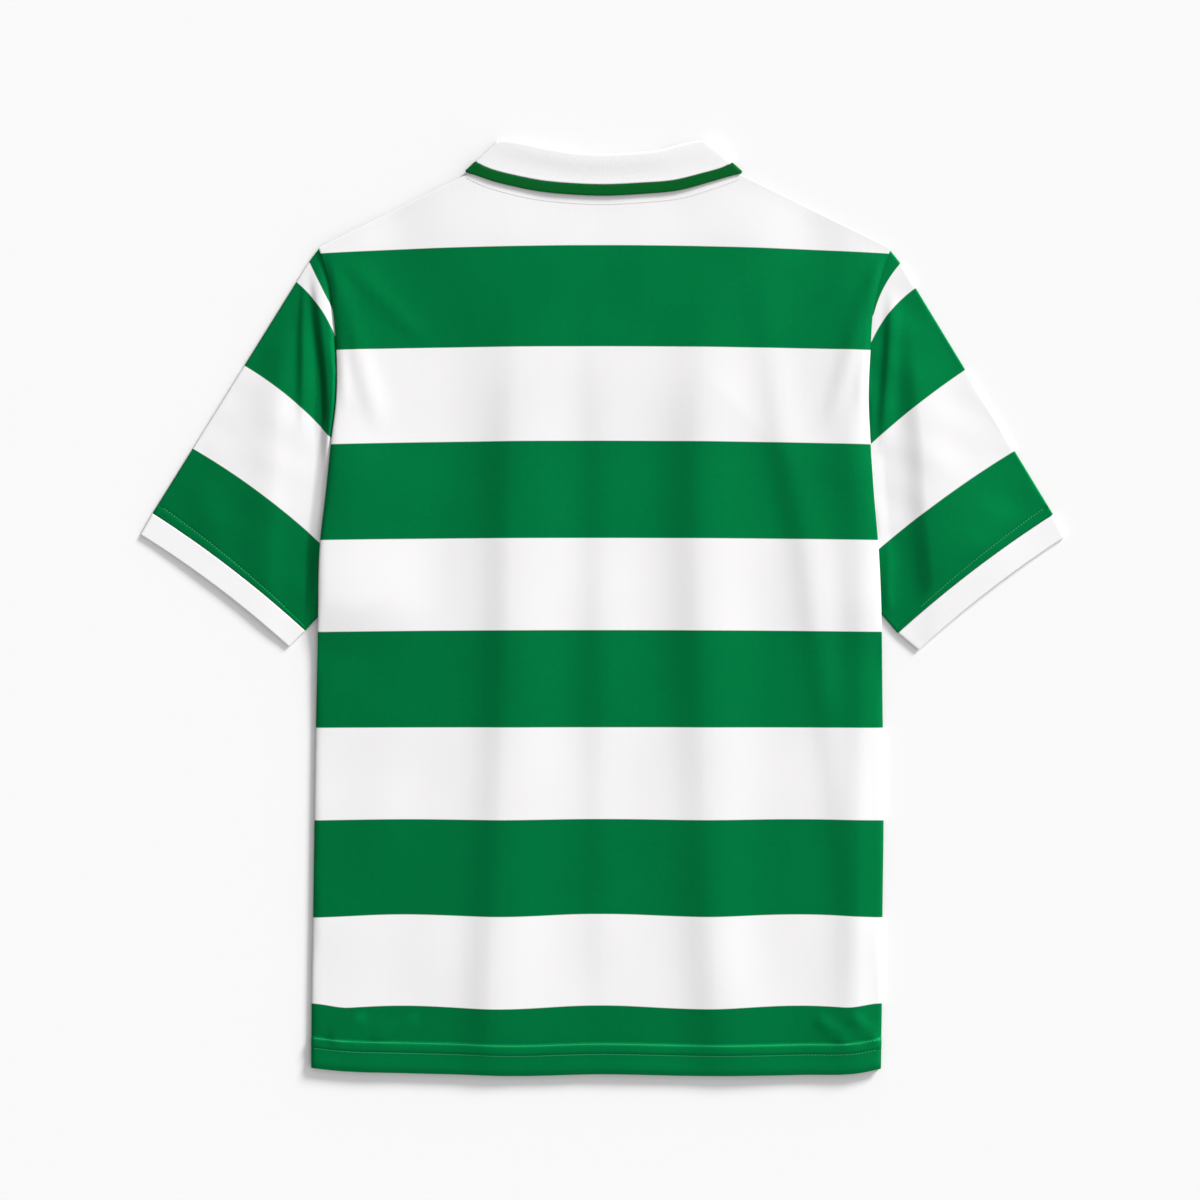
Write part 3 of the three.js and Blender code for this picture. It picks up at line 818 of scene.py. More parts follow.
@dataclass
class FrontPanel:
    """The front of the body, hidden underneath: flat on the surface, with a plain V neck."""

    lie: Lie
    neckline: np.ndarray
    tips: tuple[tuple[float, float], tuple[float, float]] = ((-0.23555, 0.3125), (0.23815, 0.3115))
    step: float = 0.007
    inset: float = 0.00045

    def side_x(self, y: np.ndarray, side: Side) -> np.ndarray:
        """The front's side edge: the body's side, then the underarm line to the armpit and the armhole.

        Args:
            y: Heights up the body.
            side: Which side.

        Returns:
            The edge's X at each height.
        """
        lie, line = self.lie, self.lie.sleeves[side]
        body = np.interp(y, lie.sides[:, 0], lie.sides[:, 1 if side is Side.LEFT else 2])
        along = (y - line.under_armhole[1]) / (line.under_cuff[1] - line.under_armhole[1])
        underarm = line.under_armhole[0] + (line.under_cuff[0] - line.under_armhole[0]) * along
        down = np.clip((line.armhole[1] - y) / (line.armhole[1] - line.under_armhole[1]), 0.0, 1.0)
        armhole = line.armhole[0] + (line.under_armhole[0] - line.armhole[0]) * down
        armhole -= side.value * lie.armhole_bow * 4.0 * down * (1.0 - down)
        past = np.where(y > line.under_armhole[1], armhole, underarm)
        nearest = np.minimum(np.abs(body), np.abs(past))
        return side.value * (np.where(y < line.under_cuff[1], np.abs(body), nearest) - self.inset)

    def build(self) -> bpy.types.Object:
        """Makes the panel's cloth on rows up from the hem and columns from side to side.

        Returns:
            The piece.
        """
        lie = self.lie
        foot, tip = lie.sides[0, 0], self.tips[0][1]
        up = edged_steps(tip - foot, self.step, (0.0, 0.0004, 0.0016, 0.0050))[:, None]
        across = edged_steps(1.0, 0.015, (0.0, 0.001, 0.004, 0.012))
        left, right = self.side_x(foot + up, Side.LEFT), self.side_x(foot + up, Side.RIGHT)
        x = left + (right - left) * across
        edge = np.array([self.tips[0], *self.neckline, self.tips[1]])
        top_x = x[-1]
        top = np.interp(top_x, edge[:, 0], edge[:, 1])
        hem = np.interp(x[:1], lie.hem[:, 0], lie.hem[:, 1])
        y = hem + up + (top - hem - (tip - foot)) * smooth_step(up, 0.30, tip - foot)
        wall = lie.wall(x, y)
        middle = np.stack([x, y, lie.neck_lift(x, y) + wall / 2.0], axis=2)
        hoop = hoop_distance(BODY_HOOPS, False, x, y)
        return Shell("front_cloth", middle, wall, flat_map=np.stack([x, y], axis=2), hoop=hoop).build()


# Sleeves and cuffs


@dataclass
class Tube:
    """A flattened tube of cloth: rows from one end to the other, each from the outer fold to the underarm."""

    lie: Lie
    side: Side
    step: float = 0.0020
    lower_step: float = 0.0060
    turn_points: int = 9
    loft: dict = field(default_factory=lambda: {Side.LEFT: 0.0025, Side.RIGHT: 0.0009})
    outer_fade: float = 0.45
    fold_fade: dict = field(default_factory=lambda: {Side.LEFT: 0.28, Side.RIGHT: 0.42})
    under_fade: float = 0.12
    # How far from the body's edge the loft and the ridges take to reach their full height
    loft_reach: float = 0.055
    ridge_reach: float = 0.014
    end_loft: float = 0.30
    ridges: tuple[Ridge | Fold, ...] = (
        Fold((
            (-0.020, -0.2905, 0.0006), (0.060, -0.287, 0.0008), (0.120, -0.284, 0.0006), (0.175, -0.281, 0.0012),
            (0.220, -0.2795, 0.0022), (0.262, -0.278, 0.0012), (0.290, -0.277, 0.0),
        ), 0.018, 0.011),
        Fold((
            (-0.020, 0.289, 0.0018), (0.040, 0.283, 0.0034), (0.100, 0.2775, 0.0028), (0.145, 0.2755, 0.0027),
            (0.175, 0.2720, 0.0036), (0.205, 0.2690, 0.0042), (0.250, 0.266, 0.0030), (0.275, 0.265, 0.0),
        ), 0.0120, 0.090),
        Fold((
            (-0.020, 0.325, 0.0006), (0.050, 0.322, 0.0010), (0.095, 0.322, 0.0002), (0.130, 0.322, 0.0),
        ), 0.040, 0.040),
        Ridge((-0.3520, 0.1100), (-0.3300, 0.0500), 0.014, 0.014, 0.0006),
        Ridge((0.3520, 0.1120), (0.3380, 0.0480), 0.014, 0.014, 0.0006),
    )
    creases: tuple[Ridge | Fold, ...] = (
        Fold((
            (0.150, -0.2575, 0.0), (0.178, -0.2575, 0.0012), (0.200, -0.2570, 0.0020), (0.235, -0.2570, 0.0021),
            (0.264, -0.2565, 0.0015), (0.285, -0.2560, 0.0),
        ), 0.0040, 0.013),
        Fold((
            (0.105, -0.2345, 0.0), (0.145, -0.2350, 0.0022), (0.172, -0.2350, 0.0033), (0.205, -0.2368, 0.0038),
            (0.240, -0.2405, 0.0036), (0.265, -0.2435, 0.0026), (0.288, -0.2455, 0.0008), (0.303, -0.2470, 0.0),
        ), 0.0045, 0.0130),
        Fold((
            (0.105, -0.2390, 0.0), (0.140, -0.2415, -0.0008), (0.170, -0.2425, -0.0014), (0.205, -0.2450, -0.0015),
            (0.240, -0.2495, -0.0015), (0.262, -0.2520, -0.0010), (0.285, -0.2535, 0.0),
        ), 0.013, 0.0048),
        Fold((
            (0.130, 0.2400, 0.0), (0.160, 0.2415, 0.0015), (0.190, 0.2440, 0.0020), (0.222, 0.2462, 0.0022),
            (0.250, 0.2475, 0.0016), (0.275, 0.2485, 0.0),
        ), 0.0042, 0.0085),
        Ridge((0.2454, 0.0583), (0.2454, 0.0000), 0.004, 0.006, 0.0008),
    )
    unevenness: Unevenness = Unevenness(0.00018, 0.030, 0.090, 9, 5)

    def rise(self, x: np.ndarray, y: np.ndarray, across: np.ndarray, along: np.ndarray) -> np.ndarray:
        """Lift of the upper layer: none at the two folds, soft ridges between, and the body's own rise under it.

        Args:
            x: The points' places along X.
            y: The points' places along Y.
            across: Share of the way from the outer fold to the underarm fold.
            along: Share of the way from the armhole to the cuff's seam, 1 on the cuff.

        Returns:
            The lift at each point.
        """
        outer = smooth_step(across, 0.0, self.outer_fade)
        under = 1.0 - smooth_step(across, 1.0 - self.under_fade, 1.0)
        beyond = np.abs(x) - np.abs(self.lie.side_x(y, self.side))
        lofted = self.loft[self.side] * (1.0 - (1.0 - self.end_loft) * smooth_step(along, 0.35, 1.0))
        lofted = lofted * outer * smooth_step(beyond, 0.0, self.loft_reach)
        to_cuff = 1.0 - 0.75 * smooth_step(along, 0.90, 1.0)
        from_fold = smooth_step(across, 0.0, self.fold_fade[self.side])
        ridged = from_fold * smooth_step(beyond, 0.0, self.ridge_reach)
        ridged = ridged * relief_at(self.ridges, x, y) * to_cuff
        near = smooth_step(beyond, 0.0, 0.003) * smooth_step(across, 0.0, 0.03)
        near = near * (1.0 - smooth_step(across, 0.96, 1.0))
        fine = relief_at(self.creases, x, y) + self.unevenness.at(x, y)
        total = under * (lofted + ridged + self.lie.edge_rise(x, y)) + near * fine * to_cuff
        return np.maximum(total, -0.0001)

    def ring(self, width: float) -> tuple[np.ndarray, np.ndarray, np.ndarray]:
        """The wall's middle line once round a row: over the top, round the underarm, back below, round the fold.

        Args:
            width: The row's width in plan.

        Returns:
            Distance from the outer fold, height from the layers' middle, and 1 on the upper layer, else 0.
        """
        radius = LAYER / 2.0
        reach = radius + CLOTH / 2.0
        upper = np.linspace(reach, width - reach, max(4, int(round(width / self.step))))
        lower = np.linspace(width - reach, reach, max(4, int(round(width / self.lower_step))))
        turn = np.linspace(0.0, math.pi, self.turn_points)[1:-1]
        place = np.concatenate([
            upper,
            width - reach + radius * np.sin(turn),
            lower,
            reach - radius * np.sin(turn),
        ])
        lift = np.concatenate([
            np.full(len(upper), radius),
            radius * np.cos(turn),
            np.full(len(lower), -radius),
            -radius * np.cos(turn),
        ])
        top = np.concatenate([np.ones(len(upper)), np.zeros(len(place) - len(upper))])
        return place, lift, top

    def grid(
        self, outer: np.ndarray, under: np.ndarray, bow: np.ndarray, along: np.ndarray
    ) -> tuple[np.ndarray, ...]:
        """The tube's middle points, and which columns are on its upper layer.

        A row runs straight from the outer fold to the underarm and bows towards the body by a parabola.

        Args:
            outer: The outer fold's points, a row each.
            under: The underarm fold's points, a row each.
            bow: Each row's bow at its middle.
            along: Each row's share of the way from the armhole to the cuff's seam.

        Returns:
            The middle points by row and column, and 1 for each column of the upper layer, else 0.
        """
        chord = under - outer
        width = np.linalg.norm(chord, axis=1)
        widest = float(width.max())
        place, lift, top = self.ring(widest)
        reach = (LAYER + CLOTH) / 2.0
        from_fold = np.minimum(place, widest - place)
        share = place / widest
        near = np.where(place < widest / 2.0, from_fold / width[:, None], 1.0 - from_fold / width[:, None])
        blend = smooth_step(from_fold, reach, 6.0 * reach)
        across = near + (share - near) * blend
        inwards = np.stack([-chord[:, 1], chord[:, 0]], axis=1) / width[:, None]
        inwards *= -np.sign(inwards[:, :1]) * self.side.value
        arc = (bow[:, None] * 4.0 * across * (1.0 - across))[:, :, None]
        flat = outer[:, None, :] + chord[:, None, :] * across[:, :, None] + inwards[:, None, :] * arc
        rise = self.rise(flat[:, :, 0], flat[:, :, 1], across, along[:, None]) * top
        height = CLOTH + SEAM_GAP / 2.0 + lift + rise - self.groove(along)[:, None] * top
        return np.concatenate([flat, height[:, :, None]], axis=2), top

    def groove(self, along: np.ndarray) -> np.ndarray:
        """Depth of the groove of a stitched row, none on a plain tube."""
        return np.zeros_like(along)

    def shell(self, name: str, rows: tuple[np.ndarray, ...], hooped: bool) -> Shell:
        """The tube's cloth, mapped along and across the sleeve.

        Args:
            name: The piece's name.
            rows: The outer fold's points, the underarm fold's points, each row's bow and its share along.
            hooped: Whether it carries the sleeve's hoops.

        Returns:
            The shell.
        """
        outer = rows[0]
        middle, _ = self.grid(*rows)
        line = self.lie.sleeves[self.side]
        axis = np.array(line.cuff) - np.array(line.bend)
        axis /= np.linalg.norm(axis)
        x, y = middle[:, :, 0], middle[:, :, 1]
        flat_map = np.stack([x * axis[1] - y * axis[0], x * axis[0] + y * axis[1]], axis=2)
        hoop = hoop_distance(SLEEVE_HOOPS[self.side], True, x, y) if hooped else None
        ends = np.zeros(middle.shape[:2])
        ends[:] = np.linalg.norm(outer - outer[0], axis=1)[:, None]
        from_end = np.minimum(ends, ends[-1] - ends)
        wall = rounded_wall(CLOTH, from_end)
        return Shell(name, middle, wall, ring=True, turned=self.side is Side.LEFT, flat_map=flat_map, hoop=hoop)


@dataclass
class Sleeve(Tube):
    """A hooped sleeve, from under the body's armhole edge to the cuff's seam."""

    tip_share: float = 0.03
    bend_share: float = 0.08
    stitch_row: float = 0.0086

    def rows(self, share: np.ndarray) -> tuple[np.ndarray, ...]:
        """Rows of the sleeve at shares of the way from the armhole to the cuff's seam.

        Args:
            share: The shares.

        Returns:
            The outer fold's points, the underarm fold's points, each row's bow and its share.
        """
        line = self.lie.sleeves[self.side]
        knots = [0.0, self.tip_share, self.bend_share, 1.0]
        folds = np.array([line.armhole, line.tip, line.bend, line.cuff])
        outer = np.stack([np.interp(share, knots, folds[:, axis]) for axis in (0, 1)], axis=1)
        start, end = np.array(line.under_armhole), np.array(line.under_cuff)
        under = start + (end - start) * share[:, None]
        bow = self.lie.armhole_bow + (self.lie.cuff_bow - self.lie.armhole_bow) * share
        return outer, under, bow, share

    @property
    def stitch_share(self) -> float:
        """Share of the way down at which the row of stitches lies."""
        line = self.lie.sleeves[self.side]
        return 1.0 - self.stitch_row * (1.0 - self.bend_share) / math.dist(line.bend, line.cuff)

    def groove(self, along: np.ndarray) -> np.ndarray:
        """Depth of the groove along the row of stitches above the cuff: a narrow bell."""
        line = self.lie.sleeves[self.side]
        off = (along - self.stitch_share) * math.dist(line.bend, line.cuff)
        return 0.00030 * np.exp(-((off / 0.0012) ** 2))

    def stitch_line(self, ends: tuple[float, float]) -> np.ndarray:
        """The row of stitches above the cuff, on the upper face.

        Args:
            ends: Where it starts and stops, as shares of the row from the outer fold.

        Returns:
            Points along the row.
        """
        middle, top = self.grid(*self.rows(np.array([self.stitch_share])))
        line = middle[0][top > 0.5] + np.array([0.0, 0.0, CLOTH / 2.0])
        first, last = (int(round(end * (len(line) - 1))) for end in ends)
        return line[first:last]

    def build(self) -> bpy.types.Object:
        """Makes the sleeve's cloth.

        Returns:
            The piece.
        """
        line = self.lie.sleeves[self.side]
        length = math.dist(line.bend, line.cuff)
        above = np.array([0.0, 0.01, self.tip_share, 0.04, 0.055, 0.068])
        below = edged_steps(length, self.step, (0.0, 0.0002, 0.0006, 0.0014))[3:]
        near_stitches = length - self.stitch_row + np.array([-0.0018, -0.0009, 0.0, 0.0009, 0.0018])
        away = below[np.abs(below - near_stitches[2]) > 0.0024]
        below = np.sort(np.concatenate([away, near_stitches])) / length
        share = np.concatenate([above, self.bend_share + (1.0 - self.bend_share) * below])
        return self.shell(f"sleeve_{self.side.word}_cloth", self.rows(share), hooped=True).build()


@dataclass
class Cuff(Tube):
    """The white band at the end of a sleeve."""

    unevenness: Unevenness = Unevenness(0.00005, 0.040, 0.090, 5, 5)

    def build(self) -> bpy.types.Object:
        """Makes the cuff's cloth.

        Returns:
            The piece.
        """
        line = self.lie.sleeves[self.side]
        depth = math.dist(line.cuff, line.cuff_end)
        share = edged_steps(depth, 0.0016, (0.0, 0.0002, 0.0006, 0.0014)) / depth
        share = SEAM_GAP / depth + (1.0 - SEAM_GAP / depth) * share[:, None]
        outer = np.array(line.cuff) + (np.array(line.cuff_end) - np.array(line.cuff)) * share
        under = np.array(line.under_cuff) + (np.array(line.under_end) - np.array(line.under_cuff)) * share
        bow = np.full(len(share), self.lie.cuff_bow)
        rows = (outer, under, bow, np.ones(len(share)))
        return self.shell(f"cuff_{self.side.word}_cloth", rows, hooped=False).build()


# Collar


@dataclass
class Collar:
    """The folded collar, stand and fall in one strip, and the green band along its free edge."""

    lie: Lie
    # Rows of roll x, roll y, edge x, edge y across the back of the neck, left to right
    back: np.ndarray = field(default_factory=lambda: np.array([
        (-0.0884, 0.3991, -0.1160, 0.3730),
        (-0.0854, 0.4012, -0.1092, 0.3712),
        (-0.0711, 0.3997, -0.0906, 0.3650),
        (-0.0462, 0.3946, -0.0582, 0.3578),
        (-0.0212, 0.3907, -0.0281, 0.3546),
        (0.0028, 0.3898, 0.0028, 0.3535),
        (0.0261, 0.3907, 0.0338, 0.3550),
        (0.0493, 0.3931, 0.0648, 0.3580),
        (0.0691, 0.3983, 0.0940, 0.3658),
        (0.0844, 0.4012, 0.1112, 0.3708),
        (0.0879, 0.3995, 0.1180, 0.3723),
    ]))
    leaf_end_roll: tuple[float, float] = (0.003, 0.243)
    band: float = 0.0095
    stand_at_crease: float = 0.0396
    stand_at_centre: float = 0.026
    back_rows: int = 150
    crease_rows: int = 13
    front_rows: int = 40
    fall_columns: int = 22
    stand_columns: int = 8
    turn_points: int = 9
    roll_fullness: float = 0.0009
    edge_lift: float = 0.0009
    # Share by which the band's reach grows at the creases, where the sections cross it at a slant
    band_slant: float = 0.25
    neck_row: float = 0.0072

    def stations(self) -> dict[str, np.ndarray]:
        """The strip's sections in order, from the left leaf's end round the back to the right leaf's end.

        Across the back they follow the table's soft curves. At a crease the way away from the neck's middle
        turns from up to down. To the front they run straight to the leaves' ends.

        Returns:
            Arrays by name: roll, direction, width, lift, stand, turn and aside.
        """
        place = np.arange(len(self.back), dtype=float)
        at = np.linspace(0.0, place[-1], self.back_rows)
        back = np.stack([smooth_curve(at, place, self.back[:, column]) for column in range(4)], axis=1)
        from_centre = np.abs(2.0 * at / place[-1] - 1.0)
        back_stand = self.stand_at_centre + (self.stand_at_crease - self.stand_at_centre) * from_centre**2
        parts = [self._part(back, np.zeros(self.back_rows), back_stand, np.zeros(2), from_centre)]
        for side in Side:
            crease = back[0] if side is Side.LEFT else back[-1]
            run = crease[2:] - crease[:2]
            outward = np.array([-run[1], run[0]]) / np.linalg.norm(run) * side.value
            turn = np.linspace(0.0, math.pi, self.crease_rows)[1:-1]
            turned = np.tile(crease, (len(turn), 1))
            crease_stand = np.full(len(turn), self.stand_at_crease)
            turned_part = self._part(turned, turn, crease_stand, outward, np.ones(len(turn)))
            end = np.array([*self.leaf_end_roll, *self.lie.leaf_end_edge]) * [side.value, 1, side.value, 1]
            along = np.linspace(0.0, 1.0, self.front_rows)[:, None]
            stand = self.stand_at_crease + (self.stand_at_centre - self.stand_at_crease) * along[:, 0]
            lines, over = crease + (end - crease) * along, np.full(self.front_rows, math.pi)
            front = self._part(lines, over, stand, outward, np.interp(along[:, 0], [0.0, 0.25], [1.0, 0.7]))
            if side is Side.LEFT:
                parts = [self._reversed(front), self._reversed(turned_part), *parts]
            else:
                parts = [*parts, turned_part, front]
        return {key: np.concatenate([part[key] for part in parts]) for key in parts[0]}

    @staticmethod
    def _part(
        lines: np.ndarray, turn: np.ndarray, stand: np.ndarray, outward: np.ndarray, aside: np.ndarray
    ) -> dict[str, np.ndarray]:
        """Sections from their roll and edge points.

        Args:
            lines: Rows of roll x, roll y, edge x, edge y.
            turn: How far each section is turned, from 0 above to pi below.
            stand: Each section's stand width.
            outward: The way out from the neck at the crease, in plan.
            aside: Each section's share of the way from the middle of the back to the crease.

        Returns:
            Arrays by name: roll, direction, width, lift, stand, turn and aside.
        """
        run = lines[:, 2:] - lines[:, :2]
        width = np.linalg.norm(run, axis=1)
        lift = np.stack([outward[0] * np.sin(turn), outward[1] * np.sin(turn), np.cos(turn)], axis=1)
        return {
            "roll": lines[:, :2], "direction": run / width[:, None], "width": width,
            "lift": lift, "stand": stand, "turn": turn, "aside": aside,
        }

    @staticmethod
    def _reversed(part: dict[str, np.ndarray]) -> dict[str, np.ndarray]:
        """The same sections in the other order."""
        return {key: values[::-1] for key, values in part.items()}

    def band_reach(self, stations: dict[str, np.ndarray]) -> np.ndarray:
        """The band's width along each section."""
        return (self.band * (1.0 + self.band_slant * smooth_step(stations["aside"], 0.7, 1.0)))[:, None]

    def fullness(self, stations: dict[str, np.ndarray]) -> np.ndarray:
        """Fullness of the roll: all of it in the middle of the back, none at the creases and below the front."""
        above = smooth_step(np.cos(stations["turn"]), 0.2, 1.0)
        return (self.roll_fullness * above * (1.0 - smooth_step(stations["aside"], 0.25, 1.0)))[:, None]

    def fall_rise(self, stations: dict[str, np.ndarray], reach: np.ndarray) -> np.ndarray:
        """Lift of the fall: high near the roll, low in its middle and a little up at its free edge.

        Args:
            stations: The sections.
            reach: Distance from the roll line, by section and column.

        Returns:
            The lift that it adds, none at the creases and below the front.
        """
        roll = self.fullness(stations) * (1.0 - smooth_step(reach, 0.005, 0.021))
        edge = self.edge_lift * smooth_step(reach / stations["width"][:, None], 0.62, 1.0)
        return roll + edge * (self.fullness(stations) / self.roll_fullness)

    def place(self, stations: dict[str, np.ndarray], reach: np.ndarray, lift: np.ndarray) -> np.ndarray:
        """Points of the strip: along each section's direction by the reach, and away from the middle by the lift.

        Args:
            stations: The sections.
            reach: Distance from the roll line, by section and column.
            lift: Distance from the middle of the neck's layers, by section and column.

        Returns:
            The points, by section and column.
        """
        base = np.concatenate([stations["roll"], np.full((len(reach), 1), self.lie.neck_middle)], axis=1)
        direction = np.concatenate([stations["direction"], np.zeros((len(reach), 1))], axis=1)
        points = base[:, None, :] + direction[:, None, :] * reach[:, :, None]
        return points + stations["lift"][:, None, :] * lift[:, :, None]

    def flat_map(self, middle: np.ndarray, reach: np.ndarray) -> np.ndarray:
        """Length along the strip and distance across it."""
        steps = np.linalg.norm(np.diff(middle[:, middle.shape[1] // 2], axis=0), axis=1)
        along = np.concatenate([[0.0], np.cumsum(steps)])
        return np.stack([np.broadcast_to(along[:, None], reach.shape), reach], axis=2)

    def build_strip(self) -> bpy.types.Object:
        """Makes the white strip: stand, roll and fall, up to the green band.

        Returns:
            The piece.
        """
        lie, stations = self.lie, self.stations()
        width, stand = (stations[key][:, None] for key in ("width", "stand"))
        radius = (lie.fall_lift + self.fullness(stations) - lie.stand_lift) / 2.0
        roll_reach = radius + CLOTH / 2.0
        fall_end = width - self.band_reach(stations) - SEAM_GAP
        stand_share = np.linspace(0.0, 1.0, self.stand_columns)
        fall_share = np.concatenate([np.linspace(0.0, 0.97, self.fall_columns), [0.985, 0.995, 1.0]])
        angle = np.linspace(0.0, math.pi, self.turn_points)[1:-1]
        fall_reach = roll_reach + (fall_end - roll_reach) * fall_share
        reach = np.concatenate([
            stand + (roll_reach - stand) * stand_share,
            roll_reach - radius * np.sin(angle),
            fall_reach,
        ], axis=1)
        fall_lift = lie.fall_lift + self.fall_rise(stations, fall_reach)
        lift = np.concatenate([
            np.broadcast_to(lie.stand_lift, (len(reach), self.stand_columns)),
            lie.stand_lift + radius * (1.0 - np.cos(angle)),
            fall_lift,
        ], axis=1)
        middle = self.place(stations, reach, lift)
        from_edge = (fall_end - reach)
        from_edge[:, : self.stand_columns + self.turn_points - 2] = CLOTH
        wall = rounded_wall(CLOTH, np.abs(from_edge))
        return Shell("collar_cloth", middle, wall, flat_map=self.flat_map(middle, reach)).build()

    def build_band(self) -> bpy.types.Object:
        """Makes the green band, from the fall's seam to its free edge.

        Returns:
            The piece.
        """
        lie, stations = self.lie, self.stations()
        width = stations["width"][:, None]
        share = edged_steps(self.band, 0.0012, (0.0, 0.0002, 0.0006)) / self.band
        reach = width - self.band_reach(stations) * (1.0 - share)
        lift = lie.fall_lift + self.fall_rise(stations, reach)
        middle = self.place(stations, reach, lift)
        from_edge = np.minimum(share, 1.0 - share) * self.band
        wall = np.broadcast_to(rounded_wall(CLOTH + 0.0002, from_edge), reach.shape)
        return Shell("collar_edge_band", middle, wall, flat_map=self.flat_map(middle, reach)).build()

    def neckline(self, gap: float = SEAM_GAP) -> tuple[np.ndarray, np.ndarray]:
        """The necklines of the back and of the front: the stand's sewn edge, from the left to the right.

        Args:
            gap: Space between the stand and the panel.

        Returns:
            The back's points and the front's points.
        """
        stations = self.stations()
        edge = stations["roll"] + stations["direction"] * (stations["stand"] + gap)[:, None]
        is_back = stations["turn"] < 0.01
        is_front = stations["turn"] > math.pi - 0.01
        return edge[is_back], edge[is_front]

    def neck_seam(self) -> np.ndarray:
        """The line in plan of the stitches that hold the neckline's seam down, below the collar's free edge.

        It runs at neck_row from the edge in the middle of the back and nearer to it at both ends.

        Returns:
            The line's points, from the left to the right.
        """
        stations = self.stations()
        is_back = stations["turn"] < 0.01
        reach = stations["width"][is_back] + self.neck_row - 0.0045 * stations["aside"][is_back] ** 4
        line = stations["roll"][is_back] + stations["direction"][is_back] * reach[:, None]
        return line[6:-6]


# Sewing


@dataclass
class Stitches:
    """A row of short raised stitches along a line on the cloth."""

    name: str
    length: float = 0.0015
    gap: float = 0.0012
    half_width: float = 0.00034
    half_height: float = 0.00028
    sides: int = 6

    def bead(self) -> tuple[np.ndarray, np.ndarray]:
        """One stitch: a section of a few sides carried along its length and drawn in at both ends.

        Returns:
            The bead's points, along, across and up, and its faces.
        """
        along = np.array([-0.5, -0.36, 0.0, 0.36, 0.5]) * self.length
        swell = np.array([0.35, 0.85, 1.0, 0.85, 0.35])
        angle = np.linspace(0.0, 2.0 * math.pi, self.sides, endpoint=False)
        points = np.stack([
            np.repeat(along, self.sides),
            np.outer(swell, np.cos(angle)).ravel() * self.half_width,
            np.outer(swell, np.sin(angle)).ravel() * self.half_height,
        ], axis=1)
        ring = np.arange(self.sides)
        following = np.roll(ring, -1)
        rows = np.arange(len(along) - 1)[:, None] * self.sides
        next_rows = rows + self.sides
        sides = np.stack([rows + ring, rows + following, next_rows + following, next_rows + ring], axis=2)
        last = (len(along) - 1) * self.sides
        first_cap = np.array([[3, 2, 1, 0], [5, 4, 3, 0]])
        last_cap = np.array([[0, 1, 2, 3], [0, 3, 4, 5]]) + last
        return points, np.concatenate([sides.reshape(-1, 4), first_cap, last_cap])

    def build(self, line: np.ndarray) -> bpy.types.Object:
        """Sets a stitch at even steps along a line, each turned along it.

        Args:
            line: Points along the row, on the cloth's face.

        Returns:
            The piece.
        """
        travelled = np.concatenate([[0.0], np.cumsum(np.linalg.norm(np.diff(line, axis=0), axis=1))])
        places = np.arange(self.length, travelled[-1] - self.length, self.length + self.gap)

        def at(distance: np.ndarray) -> np.ndarray:
            """Points at distances along the row."""
            return np.stack([np.interp(distance, travelled, line[:, axis]) for axis in range(3)], axis=1)

        centre = at(places)
        along = at(places + self.length / 2.0) - at(places - self.length / 2.0)
        along /= np.linalg.norm(along, axis=1, keepdims=True)
        across = np.cross([0.0, 0.0, 1.0], along)
        across /= np.linalg.norm(across, axis=1, keepdims=True)
        up = np.cross(along, across)
        bead, faces = self.bead()
        frame = np.stack([along, across, up], axis=1)
        points = centre[:, None, :] + np.einsum("pk,nkx->npx", bead, frame)
        quads = faces[None] + (np.arange(len(places)) * len(bead))[:, None, None]
        piece = new_piece(self.name)
        set_surface(piece, points.reshape(-1, 3) + FRAME_SHIFT, quads.reshape(-1, 4))
        return piece


# Finishes


class NodeTree:
    """A small helper that adds and links shader nodes."""

    def __init__(self, tree: bpy.types.NodeTree) -> None:
        """Keeps the tree."""
        self.tree = tree

    def add(self, kind: str, values: dict | None = None, **settings: object) -> bpy.types.Node:
        """Adds a node, sets its properties and its sockets, and links the sockets that are given outputs.

        Args:
            kind: The node's type.
            values: Inputs by name or number, each a plain value or another node's output.
            settings: The node's own properties.

        Returns:
            The node.
        """
        node = self.tree.nodes.new(kind)
        for key, value in settings.items():
            setattr(node, key, value)
        for key, value in (values or {}).items():
            if isinstance(value, bpy.types.NodeSocket):
                self.tree.links.new(value, node.inputs[key])
            else:
                node.inputs[key].default_value = value
        return node

    def maths(self, operation: str, first: object, second: object = 0.0) -> bpy.types.NodeSocket:
        """The output of a Math node."""
        return self.add("ShaderNodeMath", {0: first, 1: second}, operation=operation).outputs[0]


def new_group(
    name: str, inputs: dict[str, float], outputs: tuple[str, ...]
) -> tuple[bpy.types.NodeTree, NodeTree]:
    """An empty shader node group with number sockets.

    Args:
        name: The group's name.
        inputs: The input sockets with their usual values.
        outputs: The output sockets.

    Returns:
        The group, and a helper that adds nodes to it.
    """
    group = bpy.data.node_groups.new(name, "ShaderNodeTree")
    for socket, value in inputs.items():
        group.interface.new_socket(socket, in_out="INPUT", socket_type="NodeSocketFloat").default_value = value
    for socket in outputs:
        group.interface.new_socket(socket, in_out="OUTPUT", socket_type="NodeSocketFloat")
    return group, NodeTree(group)


